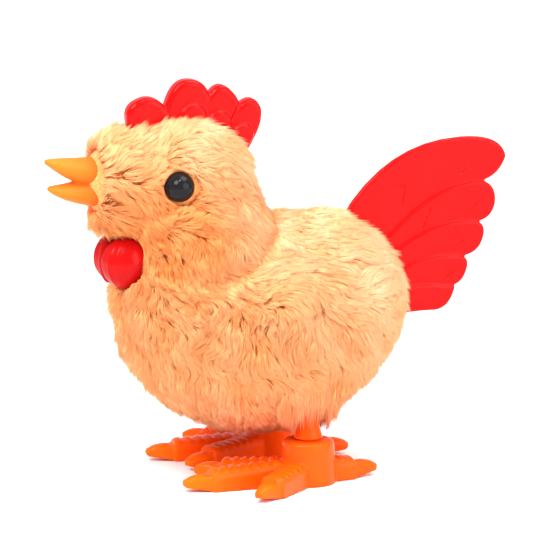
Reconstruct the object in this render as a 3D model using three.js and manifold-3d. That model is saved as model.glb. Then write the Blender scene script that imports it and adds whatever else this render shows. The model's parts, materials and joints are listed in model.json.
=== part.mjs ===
// Wind-up hopping rooster: a plush-covered shell on two moulded feet, with a spring motor inside.
// Millimetres, +Z up. The bird faces -Y and its left side is +X. The origin is on the ground, in the
// middle of the footprint.
import * as THREE from "three";
import { mergeVertices } from "three/addons/utils/BufferGeometryUtils.js";
import Module from "manifold-3d";

const wasm = await Module();
wasm.setup();

// ---------------------------------------------------------------- driving dimensions

const GAP = 0.3; // between pieces that sit against each other
const RUNNING_GAP = 0.15; // between a shaft and its bearing, on the radius
const SWING_ROOM = 1; // between the legs and the edges of the openings they rock in

// The leg axle is the reference of the whole bird: its height sets how tall the bird stands.
const AXLE_HEIGHT = 25.5;
const AXLE_Y = 3.6;
const LEG_AXLE_RADIUS = 1.25;
const FOOT_SPREAD = 14.5; // from the middle plane to each heel
const ROCK_ANGLE = 9; // degrees each way

// Rounded forms of the bird at the tips of its fur: centre above the axle and half sizes.
const BODY_HALF_WIDTH = 25.5;
const BELLY = { y: -6, up: 9, half: [BODY_HALF_WIDTH, 33.3, 23.5] };
const RUMP = { y: 9, up: 15, half: [22.5, 22.8, 21] };
const NECK = { y: -17, up: 26.5, half: [19, 18, 20] };
const HEAD = { y: -23.2, up: 42, half: [17.5, 19.5, 16] };

const PILE_SHOWN = 1.5; // fur tips that stand out past the cover's solid
const PLUSH_THICKNESS = 3.2;
const SHELL_WALL = 1.2;
const SHELL_INSET = PILE_SHOWN + PLUSH_THICKNESS + GAP;
const BOSS_RADIUS = 2.4;
const PEG_RADIUS = 1.1;
const PEG_LENGTH = 2.5;

const COMB_THICKNESS = 4.4;
const TAIL_THICKNESS = 4.4;
const TAIL_STEP = 0.7; // each feather is thinner than the one below it by this much
const TAB_THICKNESS = 2.2; // of the tabs that hold the comb and the tail in the shell
const BEAK_HALF_WIDTH = 5.6;
const BEAK_UP = 44.3; // of the corner of the mouth
const BEAK_SUNK = 2.7; // of its root behind the front of the face
const BEAK_PLUG_RADIUS = 2.6;
const WATTLE_PEG_RADIUS = 1.5;
const EYE_RADIUS = 3.5;
const EYE_BULGE = 4.2; // of the dome past its seat on the shell
const EYE_PEG_RADIUS = 1;
const EYE_PEG_LENGTH = 5.3;
const EYE = { y: -26.2, up: 44.2 };
const WATTLE = { y: -37.4, up: 25.6, half: [4.6, 4.6, 5.9], apart: 4.4 };

// Feet
const HEEL_RADIUS = 6.3;
const RIM_RADIUS = 5.9;
const HEEL_HEIGHT = 10.1;
const ANKLE_RADIUS = 3.3; // the leg where it stands on the heel's rim
const SHIN_RADIUS = 2.3;
const ANKLE_HEIGHT = 4.5; // over which the ankle tapers to the shin
const POST_TOP = -3.6; // above the axle
const LUG_BOTTOM = -8.5; // above the axle
const PLUG_RADIUS = 2.3;
const PLUG_DEPTH = 7;
const TOE_WIDTH = 6;
const TOE_HEIGHT = 5.6;
const CLAW_LENGTH = 6.5;
// Angle from straight ahead towards the outside of the foot, length, and number of scale ridges.
const TOES = [
  { angle: -25.5, length: 26.5, ridges: 5 },
  { angle: 4, length: 30.2, ridges: 6 },
  { angle: 46.5, length: 24.4, ridges: 4 },
  { angle: 191.6, length: 17.5, ridges: 2 },
];

// Motor case
const CASE_HALF_WIDTH = 9.8;
const CASE_WALL = 1.2;
const CASE_CORNER = 8;
const CASE = { front: -20, back: 10, low: -4.2, high: 22.5 }; // low and high are above the axle
const EAR_RADIUS = 2.3;
const EARS = [
  { name: "front", y: CASE.front - 1.8, up: 9 },
  { name: "rear_upper", y: CASE.back + 1.8, up: 14.5 },
  { name: "rear_lower", y: CASE.back + 1.8, up: 5.5 },
];
const SCREW_RADIUS = 0.8;
const SCREW_HEAD_RADIUS = 1.5;
const SCREW_HEAD = 0.9;
const BRIDGE = { from: 3.2, to: 4.2 };
const LEDGE = 0.5; // extra wall that the bridge plate rests on

// Wheel train
const MODULE_MM = 0.6;
const PRESSURE_ANGLE = 25 * (Math.PI / 180);
const ADDENDUM = 0.8; // in modules
const DEDENDUM = 1.15; // in modules
const BACKLASH = 0.22;
const PINION_TEETH = 8;
const GREAT_TEETH = 26;
const SECOND_TEETH = 22;
const CRANK_TEETH = 16;
const ARBOR_RADIUS = 1.5;
const PIN_RADIUS = 0.6; // of the wheel axles
const GREAT_AT = { y: -0.2, up: 12.1 };
const SPRING = { strip: 0.35, turns: 3.5, steps: 14, inner: 2.4, outer: 7.6, from: -8.3, to: -4.8 };
const CRANK_THROW = 2.2;
const CRANK_PIN_RADIUS = 0.7;
const ROCKER = { from: 6.4, to: 7.8, halfWidth: 2, hub: 2 };
const FLYWHEEL_RADIUS = 2.8;

// Winding knob
const KNOB_RADIUS = 5.5;
const KNOB_SKIRT = 2.6;
const KNOB_WING = { length: 5.2, halfHeight: 5, thickness: 2.4 };
const KNOB_STEM_RADIUS = 2.6;

const material = (color, roughness, metalness = 0) =>
  new THREE.MeshStandardMaterial({ color, roughness, metalness });
const plush = material(0xfbc38c, 0.95);
const redPlastic = material(0xf01a20, 0.3);
const wattlePlastic = material(0xc81420, 0.35);
const orangePlastic = material(0xff8a12, 0.3);
const beakPlastic = material(0xff9a1e, 0.4);
const blackPlastic = material(0x080808, 0.08);
const whitePlastic = material(0xe9e6de, 0.5);
const gearPlastic = material(0xf2efe6, 0.45);
const steel = material(0xb8babd, 0.3, 1);

// ---------------------------------------------------------------- solids

const rad = (degrees) => (degrees * Math.PI) / 180;

function solid(geometry) {
  const bare = geometry.index ? geometry.toNonIndexed() : geometry.clone();
  bare.deleteAttribute("normal");
  bare.deleteAttribute("uv");
  const merged = mergeVertices(bare, 1e-4);
  return new wasm.Manifold(
    new wasm.Mesh({
      numProp: 3,
      vertProperties: merged.attributes.position.array,
      triVerts: new Uint32Array(merged.index.array),
    }),
  );
}

const union = (...solids) => solids.reduce((a, b) => a.add(b));
const cut = (body, ...tools) => tools.reduce((a, b) => a.subtract(b), body);

function geometryOf(body) {
  const mesh = body.getMesh();
  const geometry = new THREE.BufferGeometry();
  geometry.setAttribute("position", new THREE.BufferAttribute(mesh.vertProperties, 3));
  geometry.setIndex(new THREE.BufferAttribute(mesh.triVerts, 1));
  geometry.computeVertexNormals();
  return geometry;
}

// The same solid on the other side of the middle plane.
function mirrored(body) {
  const mesh = body.getMesh();
  const vertices = mesh.vertProperties.map((v, i) => (i % 3 === 0 ? -v : v));
  const triangles = mesh.triVerts.slice();
  for (let i = 0; i < triangles.length; i += 3) {
    [triangles[i + 1], triangles[i + 2]] = [triangles[i + 2], triangles[i + 1]];
  }
  return new wasm.Manifold(
    new wasm.Mesh({ numProp: 3, vertProperties: vertices, triVerts: triangles }),
  );
}

function box(x0, x1, y0, y1, z0, z1) {
  const geometry = new THREE.BoxGeometry(x1 - x0, y1 - y0, z1 - z0);
  return solid(geometry.translate((x0 + x1) / 2, (y0 + y1) / 2, (z0 + z1) / 2));
}

function ellipsoid([x, y, z], [a, b, c], around = 16, up = 10) {
  const ball = new THREE.SphereGeometry(1, around, up).rotateX(Math.PI / 2);
  return solid(ball.scale(a, b, c).translate(x, y, z));
}

// A rod along X.
function rod(radius, x0, x1, y = 0, z = 0, sides = 16) {
  const geometry = new THREE.CylinderGeometry(radius, radius, x1 - x0, sides);
  return solid(geometry.rotateZ(Math.PI / 2).translate((x0 + x1) / 2, y, z));
}

// A bore keeps its clearance at the middle of its facets.
const bore = (radius, x0, x1, y = 0, z = 0, sides = 16) =>
  rod(radius / Math.cos(Math.PI / sides), x0, x1, y, z, sides);

// A ring of profile points [radius, height] turned about the vertical.
function turned(profile, sides = 24) {
  const points = profile.map(([r, z]) => new THREE.Vector2(r, z));
  return solid(new THREE.LatheGeometry(points, sides).rotateX(Math.PI / 2));
}

// A plate parallel to the middle plane: the outline's x is Y and its y is Z.
function plate(outline, x0, x1, { bevel = 0, curve = 4 } = {}) {
  const geometry = new THREE.ExtrudeGeometry(outline, {
    depth: x1 - x0 - 2 * bevel,
    bevelEnabled: bevel > 0,
    bevelThickness: bevel,
    bevelSize: bevel,
    bevelOffset: -bevel,
    bevelSegments: 2,
    curveSegments: curve,
    steps: 1,
  });
  const toSide = new THREE.Matrix4().makeBasis(
    new THREE.Vector3(0, 1, 0),
    new THREE.Vector3(0, 0, 1),
    new THREE.Vector3(1, 0, 0),
  );
  return solid(geometry.applyMatrix4(toSide).translate(x0 + bevel, 0, 0));
}

function roundedRectangle(left, right, low, high, radius) {
  const shape = new THREE.Shape();
  shape.moveTo(left + radius, low);
  shape.lineTo(right - radius, low);
  shape.absarc(right - radius, low + radius, radius, -Math.PI / 2, 0);
  shape.lineTo(right, high - radius);
  shape.absarc(right - radius, high - radius, radius, 0, Math.PI / 2);
  shape.lineTo(left + radius, high);
  shape.absarc(left + radius, high - radius, radius, Math.PI / 2, Math.PI);
  shape.lineTo(left, low + radius);
  shape.absarc(left + radius, low + radius, radius, Math.PI, 1.5 * Math.PI);
  return shape;
}

const bird = new THREE.Group();
const upper = new THREE.Group(); // everything whose place is set by the leg axle
upper.position.z = AXLE_HEIGHT;
bird.add(upper);

function add(name, body, look, { parent = upper, at = [0, 0, 0], turn = 0 } = {}) {
  const mesh = new THREE.Mesh(geometryOf(body), look);
  mesh.name = name;
  mesh.position.set(...at);
  mesh.rotation.x = turn;
  parent.add(mesh);
}

const sides = [
  { name: "left", sign: 1 },
  { name: "right", sign: -1 },
];
const onSide = (body, sign) => (sign > 0 ? body : mirrored(body));

// ---------------------------------------------------------------- wheel train

const wheelRadius = (teeth) => (MODULE_MM * teeth) / 2;
const tipRadius = (teeth) => wheelRadius(teeth) + ADDENDUM * MODULE_MM;
const meshDistance = (a, b) => wheelRadius(a) + wheelRadius(b);
const stepFrom = (from, distance, degrees) => ({
  y: from.y + distance * Math.cos(rad(degrees)),
  up: from.up + distance * Math.sin(rad(degrees)),
});
const direction = (from, to) => Math.atan2(to.up - from.up, to.y - from.y);

const secondAt = stepFrom(GREAT_AT, meshDistance(GREAT_TEETH, PINION_TEETH), 172);
const crankAt = stepFrom(secondAt, meshDistance(SECOND_TEETH, PINION_TEETH), -80);
const governorAt = stepFrom(crankAt, meshDistance(CRANK_TEETH, PINION_TEETH), 200);

// Spur teeth with involute flanks: half the angle that a tooth takes at a radius.
function halfTooth(teeth, radius) {
  const involute = (angle) => Math.tan(angle) - angle;
  const base = wheelRadius(teeth) * Math.cos(PRESSURE_ANGLE);
  const angle = Math.acos(Math.min(1, base / radius));
  const atPitch = Math.PI / (2 * teeth) - BACKLASH / (4 * wheelRadius(teeth));
  return atPitch + involute(PRESSURE_ANGLE) - involute(angle);
}

function gear(teeth, x0, x1, boreRadius) {
  const tip = tipRadius(teeth);
  const root = wheelRadius(teeth) - DEDENDUM * MODULE_MM;
  const levels = teeth > 12 ? [root, tip] : [root, wheelRadius(teeth), tip];
  const shape = new THREE.Shape();
  for (let tooth = 0; tooth < teeth; tooth++) {
    const middle = (tooth * 2 * Math.PI) / teeth;
    const rising = levels.map((r) => [r, middle - halfTooth(teeth, Math.max(r, root))]);
    const falling = levels.map((r) => [r, middle + halfTooth(teeth, r)]).reverse();
    for (const [r, angle] of [...rising, ...falling]) {
      const [u, v] = [r * Math.cos(angle), r * Math.sin(angle)];
      if (shape.curves.length || shape.currentPoint.length()) shape.lineTo(u, v);
      else shape.moveTo(u, v);
    }
  }
  return cut(plate(shape, x0, x1), bore(boreRadius, x0 - 1, x1 + 1));
}

// The turn that puts a gap of the driven wheel on a tooth of the driving wheel.
function meshTurn(drivingTeeth, drivingTurn, drivenTeeth, from, to) {
  const towards = direction(from, to);
  const pitch = (2 * Math.PI) / drivingTeeth;
  const share = (towards - drivingTurn) / pitch;
  return towards + Math.PI + (share - Math.floor(share) + 0.5) * ((2 * Math.PI) / drivenTeeth);
}

const secondPinionTurn = meshTurn(GREAT_TEETH, 0, PINION_TEETH, GREAT_AT, secondAt);
const crankPinionTurn = meshTurn(SECOND_TEETH, 0, PINION_TEETH, secondAt, crankAt);
const governorTurn = meshTurn(CRANK_TEETH, 0, PINION_TEETH, crankAt, governorAt);
const turnedBy = (body, angle) => solid(geometryOf(body).rotateX(angle));

const axial = (at, x = 0) => [x, at.y, at.up];
const caseInside = CASE_HALF_WIDTH - CASE_WALL;
const bearingEnd = -CASE_HALF_WIDTH + 0.2; // pivots run in the right wall and in the bridge plate

add("great_wheel", gear(GREAT_TEETH, -4.2, -2.8, ARBOR_RADIUS + GAP), gearPlastic, {
  at: axial(GREAT_AT),
});

const secondWheel = union(
  turnedBy(gear(PINION_TEETH, -4.6, -2, PIN_RADIUS + RUNNING_GAP), secondPinionTurn),
  gear(SECOND_TEETH, -2.2, -0.9, PIN_RADIUS + RUNNING_GAP),
);
add("second_wheel", secondWheel, gearPlastic, { at: axial(secondAt) });

const crankWheel = union(
  turnedBy(gear(PINION_TEETH, -2.5, -0.3, PIN_RADIUS + RUNNING_GAP), crankPinionTurn),
  gear(CRANK_TEETH, -0.5, 0.8, PIN_RADIUS + RUNNING_GAP),
);
add("crank_wheel", crankWheel, gearPlastic, { at: axial(crankAt) });

const governor = union(
  turnedBy(gear(PINION_TEETH, -0.7, 1.4, PIN_RADIUS + RUNNING_GAP), governorTurn),
  cut(rod(FLYWHEEL_RADIUS, 1.2, 2.6), bore(PIN_RADIUS + RUNNING_GAP, 1, 3)),
);
add("governor", governor, gearPlastic, { at: axial(governorAt) });

add("second_axle", rod(PIN_RADIUS, bearingEnd, BRIDGE.to - GAP, 0, 0, 12), steel, {
  at: axial(secondAt),
});
add("governor_axle", rod(PIN_RADIUS, bearingEnd, BRIDGE.to - GAP, 0, 0, 12), steel, {
  at: axial(governorAt),
});
const crankDiscFrom = BRIDGE.to + GAP;
const crankDiscTo = crankDiscFrom + 0.9;
add("crank_axle", rod(PIN_RADIUS, bearingEnd, crankDiscTo - 0.1, 0, 0, 12), steel, {
  at: axial(crankAt),
});

// The crank pin stops short of the rocker arm: the linkage is open there.
const rockerDirection = direction({ y: AXLE_Y, up: 0 }, crankAt);
const crankDisc = cut(
  union(
    rod(CRANK_THROW + CRANK_PIN_RADIUS + 0.6, crankDiscFrom, crankDiscTo),
    rod(CRANK_PIN_RADIUS, crankDiscFrom, ROCKER.from - GAP, CRANK_THROW, 0, 12),
  ),
  bore(PIN_RADIUS + RUNNING_GAP, crankDiscFrom - 1, crankDiscTo + 1, 0, 0, 12),
);
add("crank_disc", crankDisc, gearPlastic, { at: axial(crankAt), turn: rockerDirection });

// Flat steel strip wound from the arbor to the case.
function springStrip() {
  const shape = new THREE.Shape();
  const steps = SPRING.turns * SPRING.steps;
  const side = (offset, i) => {
    const radius = SPRING.inner + ((SPRING.outer - SPRING.inner) * i) / steps + offset;
    const angle = (i * 2 * Math.PI) / SPRING.steps;
    return [radius * Math.cos(angle), radius * Math.sin(angle)];
  };
  shape.moveTo(...side(0, 0));
  for (let i = 1; i <= steps; i++) shape.lineTo(...side(0, i));
  for (let i = steps; i >= 0; i--) shape.lineTo(...side(-SPRING.strip, i));
  return plate(shape, SPRING.from, SPRING.to);
}
add("mainspring", springStrip(), steel, { at: axial(GREAT_AT) });

// ---------------------------------------------------------------- motor case and bridge plate

const caseOutline = (inset) =>
  roundedRectangle(
    CASE.front + inset,
    CASE.back - inset,
    CASE.low + inset,
    CASE.high - inset,
    CASE_CORNER - inset,
  );
const legAxle = { y: AXLE_Y, up: 0 };

// Bearing holes of the winding arbor and the three wheel axles, between two places along X.
const bearings = (x0, x1) => [
  bore(ARBOR_RADIUS + RUNNING_GAP, x0, x1, GREAT_AT.y, GREAT_AT.up),
  ...[secondAt, crankAt, governorAt].map(({ y, up }) =>
    bore(PIN_RADIUS + RUNNING_GAP, x0, x1, y, up, 12),
  ),
];

// The left half carries the bridge plate on a ledge, and the right half's wall has the bearings.
const caseHollow = {
  left: () => [
    plate(caseOutline(CASE_WALL), -1, BRIDGE.to),
    plate(caseOutline(CASE_WALL + LEDGE), BRIDGE.to - 0.1, caseInside),
  ],
  right: () => [
    plate(caseOutline(CASE_WALL), -caseInside, 1),
    ...bearings(-CASE_HALF_WIDTH - 1, -caseInside + 1),
  ],
};

function caseHalf({ name, sign }) {
  const [x0, x1] = sign > 0 ? [GAP / 2, CASE_HALF_WIDTH] : [-CASE_HALF_WIDTH, -GAP / 2];
  const ears = EARS.map(({ y, up }) => rod(EAR_RADIUS, x0, x1, y, up));
  const block = union(plate(caseOutline(0), x0, x1), ...ears);
  const axleBore = bore(LEG_AXLE_RADIUS + RUNNING_GAP, x0 - 1, x1 + 1, AXLE_Y, 0);
  const screwBores = EARS.map(({ y, up }) =>
    bore(SCREW_RADIUS + RUNNING_GAP, x0 - 1, x1 + 1, y, up, 12),
  );
  return cut(block, ...caseHollow[name](), axleBore, ...screwBores);
}
for (const side of sides) add("motor_case_" + side.name, caseHalf(side), whitePlastic);

const bridgePlate = cut(
  plate(caseOutline(CASE_WALL + GAP), BRIDGE.from, BRIDGE.to - RUNNING_GAP),
  bore(LEG_AXLE_RADIUS + GAP, 0, BRIDGE.to + 1, AXLE_Y, 0),
  ...bearings(0, BRIDGE.to + 1),
);
add("bridge_plate", bridgePlate, whitePlastic);

for (const { name, y, up } of EARS) {
  const head = rod(SCREW_HEAD_RADIUS, CASE_HALF_WIDTH + 0.1, CASE_HALF_WIDTH + SCREW_HEAD);
  const screw = union(head, rod(SCREW_RADIUS, -CASE_HALF_WIDTH + 1, CASE_HALF_WIDTH + 0.5, 0, 0, 12));
  add("case_screw_" + name, screw, steel, { at: [0, y, up] });
}

// ---------------------------------------------------------------- legs

const legInner = CASE_HALF_WIDTH + GAP;
const legOuter = legInner + 2.6;
const capOuter = legOuter + GAP + 1.3;
const HUB_RADIUS = 4.2;
const CAP_RADIUS = 2.7;

add("leg_axle", rod(LEG_AXLE_RADIUS, -capOuter + 0.2, capOuter - 0.2), steel, {
  at: [0, AXLE_Y, 0],
});

// From the axle to past the crank, with a slot as long as the crank pin's travel.
const rockerReach = Math.hypot(crankAt.y - AXLE_Y, crankAt.up);
const slotHalfWidth = CRANK_PIN_RADIUS + GAP;
const slotEnds = [rockerReach - CRANK_THROW, rockerReach + CRANK_THROW];
function rockerArm() {
  const { from: x0, to: x1, halfWidth, hub } = ROCKER;
  const reach = slotEnds[1] + 0.4;
  const arm = union(
    rod(hub, x0, x1),
    rod(halfWidth, x0, x1, reach, 0),
    box(x0, x1, 0, reach, -halfWidth, halfWidth),
  );
  const slot = union(
    rod(slotHalfWidth, x0 - 1, x1 + 1, slotEnds[0], 0, 12),
    rod(slotHalfWidth, x0 - 1, x1 + 1, slotEnds[1], 0, 12),
    box(x0 - 1, x1 + 1, slotEnds[0], slotEnds[1], -slotHalfWidth, slotHalfWidth),
  );
  return cut(arm, slot, bore(LEG_AXLE_RADIUS + RUNNING_GAP, x0 - 1, x1 + 1));
}
add("rocker_arm", rockerArm(), gearPlastic, { at: [0, AXLE_Y, 0], turn: rockerDirection });

// In the leg's own frame the axle is the X axis and the ground is at -AXLE_HEIGHT. The post is
// turned about its own upright axis, and the lug joins it to the axle.
function leg() {
  const rim = -AXLE_HEIGHT + HEEL_HEIGHT + GAP;
  const post = turned([
    [0, rim - PLUG_DEPTH],
    [PLUG_RADIUS, rim - PLUG_DEPTH],
    [PLUG_RADIUS, rim],
    [ANKLE_RADIUS, rim],
    [ANKLE_RADIUS - 0.3, rim + 1],
    [SHIN_RADIUS, rim + ANKLE_HEIGHT],
    [SHIN_RADIUS, POST_TOP - 1.4],
    [SHIN_RADIUS - 0.6, POST_TOP],
    [0, POST_TOP],
  ]);
  const webHalf = SHIN_RADIUS - 0.2;
  const lug = union(
    rod(HUB_RADIUS, legInner, legOuter),
    box(legInner, legOuter, -SHIN_RADIUS, SHIN_RADIUS, LUG_BOTTOM, 0),
    box(legInner, FOOT_SPREAD, -webHalf, webHalf, LUG_BOTTOM, POST_TOP - 1.4),
  );
  const whole = union(solid(geometryOf(post).translate(FOOT_SPREAD, 0, 0)), lug);
  return cut(whole, bore(LEG_AXLE_RADIUS + RUNNING_GAP, legInner - 1, legOuter + 3));
}

function legCap() {
  const ring = rod(CAP_RADIUS, legOuter + GAP, capOuter);
  return cut(ring, bore(LEG_AXLE_RADIUS + RUNNING_GAP, legOuter, capOuter + 1));
}

for (const { name, sign } of sides) {
  add("leg_" + name, onSide(leg(), sign), orangePlastic, { at: [0, AXLE_Y, 0] });
  add("leg_cap_" + name, onSide(legCap(), sign), whitePlastic, { at: [0, AXLE_Y, 0] });
}

// ---------------------------------------------------------------- feet

// Side outline of a toe from the heel's axis to the claw's tip, with a ridge for each scale.
function toeOutline({ length, ridges }) {
  const pad = length - CLAW_LENGTH;
  const start = HEEL_RADIUS * 0.55;
  const pitch = (pad - HEEL_RADIUS) / ridges;
  const shape = new THREE.Shape();
  shape.moveTo(start, 0);
  shape.lineTo(length - 2.2, 0);
  shape.quadraticCurveTo(length - 0.4, 0.1, length, 0.9);
  shape.quadraticCurveTo(length - 2.6, 3.1, pad, 3.5);
  for (let i = ridges; i > 0; i--) {
    const at = HEEL_RADIUS + pitch * i;
    const high = 4.3 + (TOE_HEIGHT - 4.3) * (1 - i / ridges);
    shape.lineTo(at, high);
    shape.lineTo(at - pitch * 0.75, high + 0.35);
    shape.lineTo(at - pitch, high);
  }
  shape.lineTo(start, TOE_HEIGHT);
  return shape;
}

function toe(size) {
  const half = TOE_WIDTH / 2;
  const blade = plate(toeOutline(size), -half, half, { curve: 3 });
  const pad = size.length - CLAW_LENGTH;
  const taper = new THREE.Shape();
  taper.moveTo(0, -half);
  taper.lineTo(pad, -half);
  taper.lineTo(size.length, -0.9);
  taper.lineTo(size.length, 0.9);
  taper.lineTo(pad, half);
  taper.lineTo(0, half);
  const fromAbove = new THREE.ExtrudeGeometry(taper, { depth: 20, bevelEnabled: false });
  const toPlan = new THREE.Matrix4().makeBasis(
    new THREE.Vector3(0, 1, 0),
    new THREE.Vector3(-1, 0, 0),
    new THREE.Vector3(0, 0, 1),
  );
  const tapered = blade.intersect(solid(fromAbove.applyMatrix4(toPlan).translate(0, 0, -1)));
  return solid(geometryOf(tapered).rotateZ(Math.PI + rad(size.angle)));
}

function foot() {
  const heel = turned([
    [0, 0],
    [HEEL_RADIUS, 0],
    [HEEL_RADIUS, 1],
    [RIM_RADIUS, HEEL_HEIGHT - 0.8],
    [RIM_RADIUS - 0.8, HEEL_HEIGHT],
    [0, HEEL_HEIGHT],
  ]);
  const socket = solid(
    new THREE.CylinderGeometry(PLUG_RADIUS + GAP, PLUG_RADIUS + GAP, PLUG_DEPTH, 20)
      .rotateX(Math.PI / 2)
      .translate(0, 0, HEEL_HEIGHT - PLUG_DEPTH / 2 + 0.001),
  );
  return cut(union(heel, ...TOES.map(toe)), socket);
}

for (const { name, sign } of sides) {
  add("foot_" + name, onSide(foot(), sign), orangePlastic, {
    parent: bird,
    at: [sign * FOOT_SPREAD, AXLE_Y, 0],
  });
}

// ---------------------------------------------------------------- body shell and plush cover

const FORMS = [BELLY, RUMP, NECK, HEAD];
const envelope = (inset) =>
  union(
    ...FORMS.map(({ y, up, half }) =>
      ellipsoid(
        [0, y, up],
        half.map((h) => h - inset),
      ),
    ),
  );

// How far out the bird's surface is at a height and place, on its widest form there.
function halfWidthAt(y, up, inset) {
  const widths = FORMS.map((form) => {
    const [a, b, c] = form.half.map((h) => h - inset);
    const rest = 1 - ((y - form.y) / b) ** 2 - ((up - form.up) / c) ** 2;
    return rest > 0 ? a * Math.sqrt(rest) : 0;
  });
  return Math.max(...widths);
}

const shellOutside = envelope(SHELL_INSET);
const shellInside = envelope(SHELL_INSET + SHELL_WALL);
const coverOutside = envelope(PILE_SHOWN);
const coverInside = envelope(PILE_SHOWN + PLUSH_THICKNESS);
const far = 100;
const halfSpace = (sign) =>
  sign > 0 ? box(GAP / 2, far, -far, far, -far, far) : box(-far, -GAP / 2, -far, far, -far, far);

const swing = Math.sin(rad(ROCK_ANGLE));
const legReach = HUB_RADIUS + SWING_ROOM;
function legOpening(top, sign) {
  const outer = FOOT_SPREAD + SHIN_RADIUS + SWING_ROOM;
  const inner = legInner - GAP;
  const [x0, x1] = sign > 0 ? [inner, outer] : [-outer, -inner];
  const back = legReach + swing * 4;
  return box(x0, x1, AXLE_Y - back, AXLE_Y + back, -far, top);
}

// Tabs that cross the shell's wall, as stretches along Y and above the axle.
const COMB_TABS = [
  { y: [-31, -27], up: [48, 54] },
  { y: [-19.5, -15.5], up: [48, 54] },
];
const TAIL_TABS = [
  { y: [16.5, 24], up: [24, 27.5] },
  { y: [21.5, 29], up: [13.5, 17.5] },
];
const tabPiece = ({ y, up }, room) =>
  box(
    -TAB_THICKNESS / 2 - room,
    TAB_THICKNESS / 2 + room,
    y[0] - room,
    y[1] + room,
    up[0] - room,
    up[1] + room,
  );

const BOSSES = [
  { y: -28.5, up: 12 },
  { y: 19.5, up: 8 },
  { y: -20, up: 38 },
];

// A round peg along Y.
function peg(radius, length, y, up, sides) {
  const geometry = new THREE.CylinderGeometry(radius, radius, length, sides);
  return solid(geometry.translate(0, y, up));
}
const beakRoot = HEAD.y - HEAD.half[1] + BEAK_SUNK;
const beakPlug = (room) => peg(BEAK_PLUG_RADIUS + room, 12, beakRoot + 2, BEAK_UP, 16);
const wattlePeg = (room) => peg(WATTLE_PEG_RADIUS + room, 8, WATTLE.y + 6.4, WATTLE.up, 14);
const eyeSeat = halfWidthAt(EYE.y, EYE.up, SHELL_INSET - GAP) + GAP;
function eyePeg(room, sign) {
  const ends = [sign * (eyeSeat - EYE_PEG_LENGTH), sign * (eyeSeat + 1)];
  return rod(EYE_PEG_RADIUS + room, Math.min(...ends), Math.max(...ends), EYE.y, EYE.up, 14);
}

// The motor case stands in the shell, whose posts hold it by its ears.
const caseRoom = plate(caseOutline(-GAP), -CASE_HALF_WIDTH - GAP, CASE_HALF_WIDTH + GAP);

function shellHalf(sign) {
  const post = (radius, from, y, up) => {
    const ends = sign > 0 ? [from, far] : [-far, -from];
    return rod(radius, ...ends, y, up, 10).intersect(shellOutside);
  };
  let half = union(
    cut(shellOutside, shellInside),
    ...BOSSES.map(({ y, up }) => post(BOSS_RADIUS, GAP / 2, y, up)),
    ...EARS.map(({ y, up }) => post(EAR_RADIUS, legInner + SCREW_HEAD, y, up)),
  );
  half = half.intersect(halfSpace(sign));
  half = cut(half, legOpening(HUB_RADIUS + SWING_ROOM, sign), eyePeg(GAP, sign));
  half = cut(half, beakPlug(GAP), wattlePeg(GAP), caseRoom);
  for (const tab of [...COMB_TABS, ...TAIL_TABS]) half = cut(half, tabPiece(tab, GAP));
  for (const { y, up } of BOSSES) {
    if (sign > 0) half = union(half, rod(PEG_RADIUS, -PEG_LENGTH, GAP, y, up, 12));
    else half = cut(half, bore(PEG_RADIUS + GAP, -PEG_LENGTH - GAP, 0, y, up, 12));
  }
  if (sign < 0) {
    half = cut(half, bore(KNOB_STEM_RADIUS + GAP, -far, -5, GREAT_AT.y, GREAT_AT.up));
  }
  return half;
}

// ---------------------------------------------------------------- comb, tail, beak, wattle, eyes

// Four lobes, from the front of the head to the back. Heights are above the axle.
function combOutline() {
  const shape = new THREE.Shape();
  shape.moveTo(-33.6, 53);
  shape.quadraticCurveTo(-37.6, 60.4, -32.6, 62.3);
  shape.quadraticCurveTo(-29, 64, -26.3, 60.6);
  shape.quadraticCurveTo(-24.6, 66.6, -20.8, 66.5);
  shape.quadraticCurveTo(-17, 66.4, -16, 63.1);
  shape.quadraticCurveTo(-13.4, 66.6, -10.6, 63.4);
  shape.quadraticCurveTo(-9.2, 62, -8.8, 60.4);
  shape.quadraticCurveTo(-5.2, 63.2, -3.7, 59);
  shape.quadraticCurveTo(-3, 55.4, -7.2, 49.2);
  shape.lineTo(-10.4, 44);
  shape.quadraticCurveTo(-21, 52, -33.6, 47);
  shape.lineTo(-33.6, 53);
  return shape;
}

function comb() {
  const half = COMB_THICKNESS / 2;
  const raised = plate(combOutline(), -half, half, { bevel: 0.9, curve: 4 });
  const clear = cut(raised, envelope(SHELL_INSET - GAP));
  const tabs = COMB_TABS.map((tab) => tabPiece(tab, 0));
  return union(clear, ...tabs);
}
const combBody = comb();
add("comb", combBody, redPlastic);

// Each feather leaves the rump at its root and runs along its upper edge, round its tip and back
// along its lower edge. They are listed from the top one down.
const FEATHERS = [
  { root: [13, 28], upper: [[24, 49.5], [44, 50]], tip: [[54, 50.3], [55, 45]],
    under: [[53.5, 40.5], [49.4, 39.5]], lower: [[38, 38], [22, 20]] },
  { root: [20, 19], upper: [[34, 40], [49, 39.6]], tip: [[52.8, 38.8], [52.4, 34.3]],
    under: [[51.8, 31], [48.9, 30.2]], lower: [[38, 29], [22, 15]] },
  { root: [20, 17], upper: [[34, 32], [47, 30.4]], tip: [[50.3, 30], [49.5, 26.6]],
    under: [[48.6, 22.9], [45, 22.3]], lower: [[36, 21.5], [22, 12]] },
  { root: [20, 15], upper: [[33, 24], [43, 22.5]], tip: [[46.2, 22.3], [45.5, 19.6]],
    under: [[44.6, 16], [42.1, 15.6]], lower: [[35, 15], [22, 10]] },
  { root: [20, 13], upper: [[32, 17.5], [40, 15.8]], tip: [[43.2, 15.9], [42.3, 14.6]],
    under: [[41, 10.2], [37.6, 10]], lower: [[33, 10.2], [22, 9]] },
];

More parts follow.
